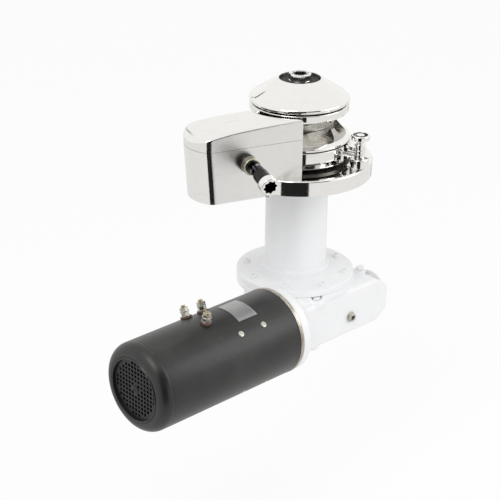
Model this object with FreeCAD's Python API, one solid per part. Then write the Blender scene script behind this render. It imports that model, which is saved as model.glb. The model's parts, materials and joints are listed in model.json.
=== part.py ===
import FreeCAD, Part
import os
from math import sin, cos, pi, radians, sqrt, asin, degrees
from FreeCAD import Vector as V

# Vertical anchor windlass, in millimetres.
# Origin: deck plane on the main shaft. +X away from the bow along the chain cover, -Y the service side, +Z up.

# Base plate on the deck
BASE_R = 128.0
BASE_H = 27.5
TRAY_DEPTH = 5.5
TRAY_R_IN = 92.0
RECESS_DEPTH = 2.7
TRAY_R_OUT = 121.0
TRAY_START = 212.0
TRAY_END = 298.0
SPIGOT_R = 46.0
SPIGOT_L = 18.0
STUD_X = 55.0
STUD_Y = 70.0
STUD_R = 4.25
STUD_DEPTH = 16.0

# Running and sliding clearances
RUN = 0.05
GAP = 0.3

# Main shaft
SHAFT_R = 15.0
SHAFT_TAIL_R = 12.5
SHAFT_FLANGE_R = 24.0
SHAFT_THREAD_R = 10.0
SHAFT_TOP = 150.0
SHAFT_SHOULDER = 125.0
KEY_W = 8.0
KEY_REACH = 19.0

# Chainwheel
DRUM_R = 84.0
DRUM_Z0 = BASE_H + 4.0
CHEEK_R = 88.0
CHEEK_Z = (62.5, 66.0)
FLANK = [(80.5, 70.5), (74.0, 77.5)]
WAIST_R = 66.0
WAIST_Z = (87.0, 103.0)
TOP_CHEEK_R = (82.5, 84.5)
TOP_CHEEK_Z = (111.0, 124.5)
POCKETS = 7
POCKET_L = 48.0
POCKET_R = 59.0
POCKET_Z = (70.5, 109.5)
POCKET_ANGLE = 20.0
LINK_GROOVE_R = 54.0
LINK_GROOVE_Z = (87.3, 97.8)
CONE_R = (42.0, 50.0)
LOWER_CONE_Z = (34.0, 46.0)
UPPER_CONE_Z = (TOP_CHEEK_Z[1] - 15.0, TOP_CHEEK_Z[1])
BUSH_R = 21.0

# Cap and clutch nut
CAP_R = 85.0
CAP_Z0 = 126.0
CAP_TOP = 165.5
CAP_MOUTH_R = 37.0
CAP_SHOULDER = SHAFT_SHOULDER + 1.0
NUT_R = 19.0
NUT_Z0 = CAP_SHOULDER + 4.0
NUT_TOP = 173.6
STAR_SQUARE = 17.5
STAR_DEPTH = 20.0

# Chain cover: plan outline and heights
WALL = 5.0
FLANK_Y = -91.0
FAR_Y = 0.0
COVER_CUT_R = max(CHEEK_R + 10.6, TOP_CHEEK_R[1] + 14.1)
COVER_SEAM = 89.5
COVER_FLOOR = 8.0
NOSE_LOW = -219.5
NOSE_SEAM = -225.8
NOSE_BULGE = 9.0
CORNER_R = 20.0
LID_GAP = 0.5
LID_PROFILE = [(-232.0, 96.0), (-226.0, 103.5), (-216.0, 109.5), (-203.5, 113.4), (-182.7, 117.2),
               (-163.6, 119.8), (-140.8, 121.8), (-98.2, 124.3), (-62.4, 126.1), (-30.0, 127.3)]
LID_CROSS = [(-95.0, -4.7), (-91.0, -4.0), (-80.0, -2.3), (-62.0, -0.6), (-42.0, 0.0),
             (-25.0, -1.2), (-12.0, -5.0), (-4.0, -10.5), (4.0, -18.0)]
HAWSE_X = -(COVER_CUT_R + 18.4)
HAWSE_Y = -47.0
HAWSE_R = 24.0
HINGE_Y = 4.5
HINGE_Z = 109.0
HINGE_R = 6.0
HINGE_X = (-140.0, -(COVER_CUT_R + 2.4))

# Brake band, its post and its spindle
BAND_IN = 87.0
BAND_OUT = 89.5
BAND_Z = (DRUM_Z0 + 1.5, CHEEK_Z[0] - 1.5)
LINING_Z = (DRUM_Z0 + 0.3, CHEEK_Z[0] - 1.5)
POST_X = 67.0
POST_Y = -96.0
POST_PAD = BASE_H + 2.5
POST_FOOT = (POST_PAD, POST_PAD + 15.0)
POST_FOOT_R = 16.0
KNUCKLE_R = 9.0
KNUCKLE_LOW = (POST_FOOT[1] + 0.3, POST_FOOT[1] + 8.0)
KNUCKLE_TOP = (POST_FOOT[1] + 8.3, POST_FOOT[1] + 14.5)
POST_NECK = 77.5
POST_TOP = 86.0
POST_PIN_R = 5.0
POST_HEAD_R = 16.0
SPINDLE_X = -141.0
SPINDLE_Z = 67.0
SPINDLE_R = 8.0
JOINT_Y = -134.0
SOCKET_DROOP = 11.5
SOCKET_L = 52.0
SOCKET_R = 15.5
EAR_HALF = 4.5
EAR_END = 4.8
EAR_INNER = 6.3
THROAT = 11.7
JOINT_R = 11.3
NUT_BLOCK_Y = (-26.0, -12.0)
CROSSHEAD_PAD_Y = (-13.5, -9.0)
BACK_END = 191.0

# Deck tube and its flange
TUBE_R = 54.15
TUBE_IN = 46.0
TUBE_SEAT = 8.0
FLANGE_R = 103.6
FLANGE_TOP = -184.3
FLANGE_MID = -196.3
FLANGE_LOW = -208.3
FOOT_R = 60.0
FOOT_TOP = -170.0
FLANGE_BOLT_R = 88.0
FLANGE_BOLT_START = 7.0
FLANGE_BOLTS = 8

# Gearbox and worm drive, in the motor's own frame
MOTOR_TURN = 18.64
WORM_Y = -59.0
WORM_Z = -250.5
CASE_R = 90.0
CASE_BOTTOM = -293.0
BOX_HALF = 42.0
BOX_X = (-75.0, 137.0)
BOX_CHAMFER = (28.0, 20.0)
WHEEL_TEETH = 36
MODULE = 2.5
WHEEL_HALF = 8.0
WORM_PITCH_R = 14.0
WORM_TIP_R = 16.3
WORM_ROOT_R = 11.3
WORM_X = (-20.0, 20.0)
WORM_PHASE = 252.0
BELL_X = (-110.0, -92.0)
LUG_X = -38.0
LUG_R = 15.0

# Motor
MOTOR_R = 75.9
RING_X = (-117.0, -110.0)
CAN_X = (-397.0, -117.0)
CAN_WALL = 5.0
MAGNET_T = 12.9
AIR_GAP = 3.0
REAR_PLATE_X = (CAN_X[0] + 17.0, CAN_X[0] + 23.0)
COMMUTATOR_X = CAN_X[0] + 59.0
ARMATURE_X = (CAN_X[0] + 117.0, CAN_X[0] + 247.0)
WINDING_L = 18.0
MAGNET_OVERHANG = 10.0
ARMATURE_R = MOTOR_R - CAN_WALL - MAGNET_T - AIR_GAP
END_X = -419.0
GRILLE_R = 52.0
GRILLE_PITCH = 7.5
GRILLE_HOLE = 5.2
TERMINALS = [(-279.0, 115.0), (-248.0, 110.0), (-275.0, 81.0)]
POLE_X = (-233.3, -183.0)
POLE_ANGLE = 47.3
LABEL_X = (-222.6, -181.8)
LABEL_ANGLES = (63.0, 104.0)


def cyl(r, z0, z1, x=0.0, y=0.0):
    """Upright cylinder between two heights."""
    return Part.makeCylinder(r, z1 - z0, V(x, y, z0))


def ring(r_out, r_in, z0, z1, x=0.0, y=0.0):
    """Upright tube between two heights."""
    return cyl(r_out, z0, z1, x, y).cut(cyl(r_in, z0 - 1, z1 + 1, x, y))


def box(x0, x1, y0, y1, z0, z1):
    """Box given by its limits."""
    return Part.makeBox(x1 - x0, y1 - y0, z1 - z0, V(x0, y0, z0))


def lathe(points):
    """Solid of revolution about Z from (radius, height) points."""
    wire = Part.makePolygon([V(r, 0, z) for r, z in points + points[:1]])
    return Part.Face(wire).revolve(V(0, 0, 0), V(0, 0, 1), 360)


def rod(r, x0, x1, y=WORM_Y, z=WORM_Z):
    """Cylinder along the motor's axis."""
    return Part.makeCylinder(r, x1 - x0, V(x0, y, z), V(1, 0, 0))


def pipe(r_out, r_in, x0, x1, y=WORM_Y, z=WORM_Z):
    """Tube along the motor's axis."""
    return rod(r_out, x0, x1, y, z).cut(rod(r_in, x0 - 1, x1 + 1, y, z))


def join(shapes):
    """One solid from shapes that meet."""
    shapes = list(shapes)
    solid = shapes[0]
    for other in shapes[1:]:
        solid = solid.fuse(other)
    return solid.removeSplitter()


def around(shape, count, start=0.0):
    """Copies of a shape spaced evenly about Z."""
    copies = []
    for i in range(count):
        copy = shape.copy()
        copy.rotate(V(0, 0, 0), V(0, 0, 1), start + 360.0 * i / count)
        copies.append(copy)
    return copies


def on_motor(shape):
    """From the motor's frame to the deck frame."""
    moved = shape.copy()
    moved.rotate(V(0, 0, 0), V(0, 0, 1), MOTOR_TURN)
    return moved


def hexagon(r, z0, z1):
    """Upright hexagonal prism, r across its corners."""
    points = [V(r * cos(radians(60 * i)), r * sin(radians(60 * i)), z0) for i in range(7)]
    return Part.Face(Part.makePolygon(points)).extrude(V(0, 0, z1 - z0))


def sector(r_out, r_in, z0, z1, a0, a1):
    """Part of a ring between two angles, in degrees."""
    face = Part.Face(Part.makePolygon([V(r_in, 0, z0), V(r_out, 0, z0), V(r_out, 0, z1), V(r_in, 0, z1),
                                       V(r_in, 0, z0)]))
    solid = face.revolve(V(0, 0, 0), V(0, 0, 1), a1 - a0)
    solid.rotate(V(0, 0, 0), V(0, 0, 1), a0)
    return solid


def aim(shape, start, direction):
    """Moves a shape built along +Z from the origin so that it starts at a point and runs along a direction."""
    moved = shape.copy()
    moved.Placement = FreeCAD.Placement(start, FreeCAD.Rotation(V(0, 0, 1), direction))
    return moved


def star_hole(depth):
    """Eight-pointed winch-handle socket: two squares turned by 45 degrees, going down from z = 0."""
    half = STAR_SQUARE / 2
    square = box(-half, half, -half, half, -depth, 0.5)
    turned = square.copy()
    turned.rotate(V(0, 0, 0), V(0, 0, 1), 45)
    return square.fuse(turned)


def cap_screw(r_head, head, r_shank, shank):
    """Socket-head screw with its head's underside at z = 0."""
    socket = hexagon(r_head * 0.55, head * 0.45, head + 1)
    return cyl(r_head, 0, head).cut(socket).fuse(cyl(r_shank, -shank, 0)).removeSplitter()


def hex_bolt(r_corner, head, r_shank, shank):
    """Hexagon bolt with its head's underside at z = 0."""
    return hexagon(r_corner, 0, head).fuse(cyl(r_shank, -shank, 0)).removeSplitter()


# Chain cover outlines

def cover_outline(z, nose, inset, cut_r):
    """Plan outline of the chain cover: straight flanks, bulged nose, concave end around the chainwheel."""
    near = FLANK_Y + inset
    far = FAR_Y - inset
    tip = nose + inset
    corner = max(CORNER_R - inset, 4.0)
    side = tip + NOSE_BULGE
    mid_y = (near + far) / 2
    ease = corner * (1 - sqrt(0.5))
    near_end = V(-sqrt(cut_r ** 2 - near ** 2), near, z)
    far_end = V(-sqrt(cut_r ** 2 - far ** 2), far, z)
    mid_cut = V(-cut_r * cos(asin((near + far) / 2 / cut_r)), mid_y, z)
    a = V(side + corner, near, z)
    b = V(side, near + corner, z)
    c = V(side, far - corner, z)
    d = V(side + corner, far, z)
    return Part.Wire([
        Part.makeLine(near_end, a),
        Part.Arc(a, V(side + ease, near + ease, z), b).toShape(),
        Part.Arc(b, V(tip, mid_y, z), c).toShape(),
        Part.Arc(c, V(side + ease, far - ease, z), d).toShape(),
        Part.makeLine(d, far_end),
        Part.Arc(far_end, mid_cut, near_end).toShape()])


def cover_prism(z0, z1, inset, cut_r):
    """Solid inside the cover's outline between two heights, with the nose's outward draft."""
    def nose(z):
        return NOSE_LOW + (NOSE_SEAM - NOSE_LOW) * min(z, COVER_SEAM) / COVER_SEAM
    low = cover_outline(z0, nose(z0), inset, cut_r)
    high = cover_outline(z1, nose(z1), inset, cut_r)
    return Part.makeLoft([low, high], True, True)


def roof(drop, y_shift):
    """Solid below the lid's domed top: the lengthwise and the crosswise curve limit it together."""
    lengthwise = Part.BSplineCurve()
    lengthwise.interpolate([V(x, -120, z - drop) for x, z in LID_PROFILE])
    first = lengthwise.StartPoint
    last = lengthwise.EndPoint
    side = Part.Wire([lengthwise.toShape(), Part.makeLine(last, V(last.x, -120, 60)),
                      Part.makeLine(V(last.x, -120, 60), V(first.x, -120, 60)),
                      Part.makeLine(V(first.x, -120, 60), first)])
    along = Part.Face(side).extrude(V(0, 150, 0))
    top = LID_PROFILE[-1][1] - drop
    crosswise = Part.BSplineCurve()
    crosswise.interpolate([V(-250, y + y_shift(y), top + dz) for y, dz in LID_CROSS])
    first = crosswise.StartPoint
    last = crosswise.EndPoint
    face = Part.Face(Part.Wire([crosswise.toShape(), Part.makeLine(last, V(-250, last.y, 50)),
                                Part.makeLine(V(-250, last.y, 50), V(-250, first.y, 50)),
                                Part.makeLine(V(-250, first.y, 50), first)]))
    slope = V(230, 0, 5.0)
    across = face.extrude(slope)
    return along.common(across)


# Deck unit

def base_plate():
    """Cast base: round plate with a tray, a pad for the band post and a spigot for the deck tube."""
    plate = cyl(BASE_R, 0, BASE_H)
    rim = [e for e in plate.Edges if abs(e.BoundBox.ZMin - BASE_H) < 0.01 and e.BoundBox.XLength > BASE_R]
    plate = plate.makeFillet(3.0, rim)
    plate = plate.cut(cyl(TRAY_R_IN, BASE_H - RECESS_DEPTH, BASE_H + 1))
    plate = plate.fuse(cyl(SPIGOT_R, -SPIGOT_L, 1))
    plate = plate.cut(sector(TRAY_R_OUT, TRAY_R_IN, BASE_H - TRAY_DEPTH, BASE_H + 1, TRAY_START, TRAY_END))
    plate = plate.fuse(sector(118.0, 96.0, BASE_H - 1, POST_PAD, TRAY_END + 1, TRAY_END + 17))
    plate = plate.cut(cyl(SHAFT_FLANGE_R + 2, BASE_H - 7, BASE_H + 5))
    plate = plate.cut(cyl(SHAFT_R + 3, -SPIGOT_L - 1, BASE_H))
    plate = plate.cut(cyl(31.0, -SPIGOT_L - 1, 14))
    plate = plate.cut(ring(TUBE_R, SPIGOT_R, -1, TUBE_SEAT))
    for x in (-STUD_X, STUD_X):
        for y in (-STUD_Y, STUD_Y):
            plate = plate.cut(cyl(STUD_R, -1, STUD_DEPTH, x, y))
    cover = cover_prism(-1, BASE_H + 10, 0, COVER_CUT_R)
    plate = plate.cut(cover)
    plate = plate.cut(cyl(POST_PIN_R, 10, POST_PAD + 1, POST_X, POST_Y))
    return plate


def shaft_seal():
    """Rubber lip seal above the deck bearing."""
    return ring(SHAFT_R + 3, SHAFT_R + RUN, 15, 20)


def cover_housing():
    """Lower half of the chain cover: floor with the hawse hole, walls, open towards the chainwheel."""
    body = cover_prism(0, COVER_SEAM, 0, COVER_CUT_R)
    hollow = cover_prism(COVER_FLOOR, COVER_SEAM + 10, WALL, COVER_CUT_R - 12)
    body = body.cut(hollow)
    body = body.cut(cyl(HAWSE_R, -1, COVER_FLOOR + 1, HAWSE_X, HAWSE_Y))
    boss = Part.makeCylinder(14.0, 8, V(SPINDLE_X, FLANK_Y + WALL + 7, SPINDLE_Z), V(0, -1, 0))
    body = body.fuse(boss)
    bore = Part.makeCylinder(11.0, 40, V(SPINDLE_X, FLANK_Y + 20, SPINDLE_Z), V(0, -1, 0))
    body = body.cut(bore)
    body = body.cut(Part.makeCylinder(6.0 + RUN, 8, V(SPINDLE_X, FAR_Y - WALL + 3, SPINDLE_Z), V(0, -1, 0)))
    return body.removeSplitter()


def hawse_liner():
    """Rounded wear ring in the hawse hole."""
    outer = ring(HAWSE_R + 3.5, HAWSE_R - 3, COVER_FLOOR, COVER_FLOOR + 3, HAWSE_X, HAWSE_Y)
    neck = ring(HAWSE_R, HAWSE_R - 3, -6, COVER_FLOOR + 1, HAWSE_X, HAWSE_Y)
    return outer.fuse(neck).removeSplitter()


def cover_lid():
    """Hinged upper half of the chain cover: domed shell with two hinge lugs on the far side."""
    z0 = COVER_SEAM + LID_GAP
    outer = cover_prism(z0, 135, 0, COVER_CUT_R)
    outer = outer.common(roof(0.0, lambda y: 0.0))
    inner = cover_prism(z0 - 5, 130, WALL, COVER_CUT_R - 12)
    inner = inner.common(roof(WALL, lambda y: 5.0 if y < -60 else (-5.0 if y > -20 else 0.0)))
    lid = outer.cut(inner)
    for x in HINGE_X:
        lid = lid.cut(Part.makeCylinder(HINGE_R + GAP, 15, V(x - 7.5, HINGE_Y, HINGE_Z), V(1, 0, 0)))
        lug = Part.makeCylinder(HINGE_R, 5, V(x - 2.5, HINGE_Y, HINGE_Z), V(1, 0, 0))
        neck = box(x - 2.5, x + 2.5, FAR_Y - WALL, HINGE_Y, HINGE_Z - 9, HINGE_Z - 1)
        lid = lid.fuse(lug).fuse(neck)
        lid = lid.cut(Part.makeCylinder(2.5 + RUN, 10, V(x - 5, HINGE_Y, HINGE_Z), V(1, 0, 0)))
    return lid.removeSplitter()


def lid_hinge_brackets():
    """Two forked brackets on the far wall that carry the lid's pins."""
    shapes = []
    for x in HINGE_X:
        plate = box(x - 7, x + 7, FAR_Y, FAR_Y + 3, 62, COVER_SEAM - 2)
        parts = [plate]
        for side in (-1, 1):
            cheek = x + side * 5
            low = box(cheek - 2, cheek + 2, FAR_Y + 0.5, HINGE_Y + 4, 66, HINGE_Z)
            parts.append(low)
            parts.append(Part.makeCylinder(HINGE_R, 4, V(cheek - 2, HINGE_Y, HINGE_Z), V(1, 0, 0)))
        bracket = join(parts)
        bracket = bracket.cut(box(x - 8, x + 8, FAR_Y - 4, FAR_Y + 0.5, COVER_SEAM - 2, 130))
        bracket = bracket.cut(Part.makeCylinder(2.5, 30, V(x - 15, HINGE_Y, HINGE_Z), V(1, 0, 0)))
        shapes.append(bracket)
    return Part.Compound(shapes)


def lid_hinge_pins():
    """Two short pins, headed at one end."""
    shapes = []
    for x in HINGE_X:
        pin = Part.makeCylinder(2.5, 14, V(x - 7, HINGE_Y, HINGE_Z), V(1, 0, 0))
        shapes.append(pin.fuse(Part.makeCylinder(4.0, 2, V(x + 7, HINGE_Y, HINGE_Z), V(1, 0, 0))).removeSplitter())
    return Part.Compound(shapes)


def chain_stripper():
    """Finger that lifts the chain out of the chainwheel's link groove, bolted to the cover's far wall."""
    wall = FAR_Y - WALL
    pad = box(-124, -100, wall - 6, wall, 74, COVER_SEAM - 1)
    bridge = box(-118, -COVER_CUT_R - 1.4, wall - 17, wall, 80, COVER_SEAM - 1)
    arm = box(-COVER_CUT_R - 5.4, -50, wall - 17, wall - 9, LINK_GROOVE_Z[0] + 0.7, LINK_GROOVE_Z[1] - 1.8)
    finger = pad.fuse(bridge).fuse(arm).removeSplitter()
    return finger.cut(cyl(LINK_GROOVE_R + 2, 60, 120))


# Brake band

def brake_band_front():
    """Front half of the steel band, from the post to a fixed lug inside the cover."""
    strap = sector(BAND_OUT, BAND_IN, BAND_Z[0], BAND_Z[1], 200, 302)
    lug = sector(97.5, BAND_IN, BAND_Z[0], BAND_Z[1], 196.5, 200)
    return strap.fuse(lug).fuse(band_knuckle(KNUCKLE_LOW[0], KNUCKLE_LOW[1], 302)).removeSplitter()


def brake_band_back():
    """Back half of the steel band, from the post round to the lug that the spindle draws."""
    strap = sector(BAND_OUT, BAND_IN, BAND_Z[0], BAND_Z[1], -48, BACK_END)
    lug = sector(104.0, BAND_IN, 36.0, BAND_Z[1], BACK_END, BACK_END + 3)
    return strap.fuse(lug).fuse(band_knuckle(KNUCKLE_TOP[0], KNUCKLE_TOP[1], -48)).removeSplitter()


def band_knuckle(z0, z1, angle):
    """Arm from the strap's end to an eye around the post's pin."""
    edge = V(BAND_OUT * cos(radians(angle)), BAND_OUT * sin(radians(angle)), z0)
    post = V(POST_X, POST_Y, z0)
    reach = post - edge
    side = V(-reach.y, reach.x, 0).normalize() * 3.0
    arm = Part.Face(Part.makePolygon([edge + side, post + side, post - side, edge - side, edge + side]))
    arm = arm.extrude(V(0, 0, z1 - z0)).cut(cyl(BAND_IN + 1.0, z0 - 1, z1 + 1))
    eye = cyl(KNUCKLE_R, z0, z1, POST_X, POST_Y)
    return arm.fuse(eye).cut(cyl(POST_PIN_R, z0 - 1, z1 + 1, POST_X, POST_Y))


def brake_linings():
    """Friction linings glued inside both halves of the band."""
    return Part.Compound([sector(BAND_IN, DRUM_R + GAP, LINING_Z[0], LINING_Z[1], a0, a1)
                          for a0, a1 in ((200, 300), (-46, BACK_END))])


def post_foot():
    """Foot block of the band post, screwed to the base's pad."""
    foot = cyl(POST_FOOT_R, POST_FOOT[0], POST_FOOT[1], POST_X, POST_Y)
    rim = [e for e in foot.Edges if abs(e.BoundBox.ZMin - POST_FOOT[1]) < 0.01]
    foot = foot.makeFillet(1.0, rim)
    foot = foot.cut(cyl(POST_PIN_R, POST_FOOT[0] - 1, POST_FOOT[1] + 1, POST_X, POST_Y))
    x, y = foot_screw_place()
    foot = foot.cut(cyl(4.0, POST_FOOT[1] - 3, POST_FOOT[1] + 1, x, y))
    return foot.cut(cyl(2.5, POST_FOOT[0] - 1, POST_FOOT[1], x, y))


def foot_screw_place():
    """Where the foot's screw stands, outboard of the pin."""
    return POST_X + 9.2, POST_Y - 6.4


def foot_screw():
    """Sunk socket-head screw of the foot block."""
    x, y = foot_screw_place()
    head = cyl(3.9, POST_FOOT[1] - 3, POST_FOOT[1] - 0.6, x, y)
    screw = head.fuse(cyl(2.5, POST_FOOT[0], POST_FOOT[1] - 3, x, y)).removeSplitter()
    socket = hexagon(2.0, POST_FOOT[1] - 2.2, POST_FOOT[1])
    socket.translate(V(x, y, 0))
    return screw.cut(socket)


def post_pin():
    """Hinge pin of the two band halves, screwed into the base."""
    return cyl(POST_PIN_R, 10, POST_TOP - 1.5, POST_X, POST_Y)


def post_spacer():
    """Stepped sleeve between the upper knuckle and the head."""
    collar = ring(KNUCKLE_R, POST_PIN_R, KNUCKLE_TOP[1] + 0.3, POST_NECK - 7.3, POST_X, POST_Y)
    neck = ring(KNUCKLE_R - 2.5, POST_PIN_R, POST_NECK - 7.3, POST_NECK, POST_X, POST_Y)
    return collar.fuse(neck).removeSplitter()


def post_head():
    """Round retaining head with a ring-shaped recess in its top."""
    head = cyl(POST_HEAD_R, POST_NECK, POST_TOP, POST_X, POST_Y)
    edges = [e for e in head.Edges if e.BoundBox.ZLength < 0.01]
    head = head.makeFillet(1.2, edges)
    head = head.cut(ring(12.5, 7.0, POST_TOP - 3.5, POST_TOP + 1, POST_X, POST_Y))
    return head.cut(cyl(POST_PIN_R, POST_NECK - 1, POST_TOP - 1.5, POST_X, POST_Y))


# Brake spindle

def spindle_boss():
    """Bearing sleeve in the cover's flank."""
    def bar(r, y0, y1):
        return Part.makeCylinder(r, y1 - y0, V(SPINDLE_X, y0, SPINDLE_Z), V(0, 1, 0))
    sleeve = bar(11.0, FLANK_Y, FLANK_Y + 12).fuse(bar(15.0, FLANK_Y - 12.5, FLANK_Y))
    return sleeve.cut(bar(SPINDLE_R + RUN, FLANK_Y - 20, FLANK_Y + 20)).removeSplitter()


def brake_spindle():
    """Threaded spindle with the joint's inner fork."""
    def bar(r, y0, y1):
        return Part.makeCylinder(r, y1 - y0, V(SPINDLE_X, y0, SPINDLE_Z), V(0, 1, 0))
    shank = bar(SPINDLE_R, -120, -9).fuse(bar(6.0, -10, FAR_Y - WALL + 2.5))
    fork = bar(JOINT_R, JOINT_Y - EAR_END, JOINT_Y + THROAT).fuse(bar(12.0, JOINT_Y + THROAT, -119.5))
    fork = fork.cut(box(SPINDLE_X - EAR_INNER, SPINDLE_X + EAR_INNER, JOINT_Y - 20, JOINT_Y + THROAT,
                        SPINDLE_Z - 20, SPINDLE_Z + 20))
    for z0, z1 in ((-20, -EAR_HALF), (EAR_HALF, 20)):
        fork = fork.cut(box(SPINDLE_X - 20, SPINDLE_X + 20, JOINT_Y - 20, JOINT_Y + THROAT,
                            SPINDLE_Z + z0, SPINDLE_Z + z1))
    fork = fork.common(Part.makeSphere(JOINT_R, V(SPINDLE_X, JOINT_Y, SPINDLE_Z)).fuse(bar(13.0, JOINT_Y, -110)))
    pin_hole = Part.makeCylinder(3.0 + RUN, 40, V(SPINDLE_X - 20, JOINT_Y, SPINDLE_Z), V(1, 0, 0))
    return shank.fuse(fork).cut(pin_hole).removeSplitter()


def spindle_collar():
    """Lock collar on the spindle outside the boss, with a set screw hole."""
    def bar(r, y0, y1):
        return Part.makeCylinder(r, y1 - y0, V(SPINDLE_X, y0, SPINDLE_Z), V(0, 1, 0))
    collar = bar(14.5, -119.5, -104.0)
    edges = [e for e in collar.Edges if e.BoundBox.YLength < 0.01]
    collar = collar.makeFillet(1.5, edges)
    collar = collar.cut(bar(SPINDLE_R, -130, -90))
    return collar.cut(cyl(2.5, SPINDLE_Z + 5, SPINDLE_Z + 20, SPINDLE_X, -111.5))


def socket_frame():
    """Start point and direction of the drooping handle socket."""
    droop = radians(SOCKET_DROOP)
    return V(SPINDLE_X, JOINT_Y, SPINDLE_Z), V(0, -cos(droop), -sin(droop))


def joint_cross():
    """Cross of the universal joint: a block with two crossed pins."""
    start, direction = socket_frame()
    block = box(-6.0, 6.0, -6.0, 6.0, -6.0, 6.0)
    pin_x = Part.makeCylinder(3.0, 23, V(-11.5, 0, 0), V(1, 0, 0))
    pin_y = Part.makeCylinder(3.0, 23, V(0, -11.5, 0), V(0, 1, 0))
    return aim_socket(block.fuse(pin_x).fuse(pin_y).removeSplitter())


def aim_socket(shape):
    """From the socket's own frame (its axis +Z, the hinge along X) to its place."""
    moved = shape.copy()
    moved.rotate(V(0, 0, 0), V(1, 0, 0), 90 + SOCKET_DROOP)
    moved.translate(V(SPINDLE_X, JOINT_Y, SPINDLE_Z))
    return moved


def handle_socket():
    """Handle socket: fork at the joint, round barrel, thick end ring with the eight-pointed hole."""
    fork = cyl(JOINT_R, -EAR_END, THROAT).cut(box(-20, 20, -EAR_INNER, EAR_INNER, -20, THROAT))
    fork = fork.cut(box(-20, -EAR_HALF, -20, 20, -20, THROAT)).cut(box(EAR_HALF, 20, -20, 20, -20, THROAT))
    fork = fork.common(Part.makeSphere(JOINT_R).fuse(cyl(13.0, 0, 20))).fuse(cyl(12.0, THROAT, 14))
    fork = fork.cut(Part.makeCylinder(3.0 + RUN, 40, V(0, -20, 0), V(0, 1, 0)))
    barrel = cyl(12.5, 13, 40)
    head = cyl(SOCKET_R, 38, SOCKET_L)
    end = [e for e in head.Edges if e.BoundBox.ZLength < 0.01]
    head = head.makeFillet(1.5, end)
    socket = fork.fuse(barrel).fuse(head)
    hole = star_hole(24.0)
    hole.rotate(V(0, 0, 0), V(0, 0, 1), 10)
    hole.translate(V(0, 0, SOCKET_L))
    return aim_socket(socket.cut(hole).removeSplitter())


def socket_screw():
    """Knurled set screw under the socket's end ring."""
    screw = Part.makeCylinder(3.5, 8, V(0, 0, 0), V(0, -1, 0))
    screw.translate(V(0, -SOCKET_R + 2.0, SOCKET_L - 7))
    hole = cyl(SOCKET_R, 0, SOCKET_L)
    return aim_socket(screw.cut(hole))


def brake_crosshead():
    """Nut block on the spindle with an arm that bears on the back band's lug."""
    block = box(SPINDLE_X - 13, SPINDLE_X + 13, NUT_BLOCK_Y[0], NUT_BLOCK_Y[1], SPINDLE_Z - 13, SPINDLE_Z + 13)
    arm = box(SPINDLE_X, -94.5, CROSSHEAD_PAD_Y[0], CROSSHEAD_PAD_Y[1], 40, 56)
    drop = box(SPINDLE_X - 13, SPINDLE_X + 13, NUT_BLOCK_Y[1] - 5, CROSSHEAD_PAD_Y[1], 40, 60)
    block = block.fuse(arm).fuse(drop)
    bore = Part.makeCylinder(SPINDLE_R + RUN, 40, V(SPINDLE_X, -40, SPINDLE_Z), V(0, 1, 0))
    return block.cut(bore).removeSplitter()


# Shaft line

def main_shaft():
    """Main shaft from the gearbox to the clutch nut, with a flange under the chainwheel."""
    shaft = lathe([(0, -290), (SHAFT_TAIL_R, -290), (SHAFT_TAIL_R, -264), (SHAFT_R, -264),
                   (SHAFT_R, 24), (SHAFT_FLANGE_R, 24), (SHAFT_FLANGE_R, LOWER_CONE_Z[0] - 4),
                   (SHAFT_R + 3, LOWER_CONE_Z[0] - 4), (SHAFT_R + 3, LOWER_CONE_Z[0] - 3.5),
                   (SHAFT_R, LOWER_CONE_Z[0] - 3.5), (SHAFT_R, SHAFT_SHOULDER),
                   (SHAFT_THREAD_R, SHAFT_SHOULDER), (SHAFT_THREAD_R, SHAFT_TOP - 1),
                   (SHAFT_THREAD_R - 1, SHAFT_TOP), (0, SHAFT_TOP)])
    for z0, z1 in key_seats():
        shaft = shaft.cut(key(z0, z1))
    return shaft


def key_seats():
    """Height ranges of the three keys: worm wheel, lower cone, cap."""
    return [(WORM_Z - 9, WORM_Z + 9), (LOWER_CONE_Z[0], LOWER_CONE_Z[1] - 2),
            (UPPER_CONE_Z[0] + 1.5, SHAFT_SHOULDER - 3.5)]


def key(z0, z1):
    """Flat key on the +X side of the shaft."""
    return box(SHAFT_R - 4, KEY_REACH, -KEY_W / 2, KEY_W / 2, z0, z1)


def shaft_keys():
    """The three keys of the main shaft."""
    return Part.Compound([key(z0, z1) for z0, z1 in key_seats()])


def key_slot(z0, z1):
    """Clearance slot for a key in a hub."""
    return box(0, KEY_REACH + 0.2, -KEY_W / 2 - 0.1, KEY_W / 2 + 0.1, z0, z1)


def lower_cone():
    """Lower clutch cone, keyed to the shaft."""
    z0, z1 = LOWER_CONE_Z
    cone = lathe([(SHAFT_R, z0 - 3.5), (40, z0 - 3.5), (CONE_R[1], z0), (CONE_R[0], z1), (SHAFT_R, z1)])
    return cone.cut(box(0, KEY_REACH, -KEY_W / 2, KEY_W / 2, z0 - 5, z1 + 1))


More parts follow.
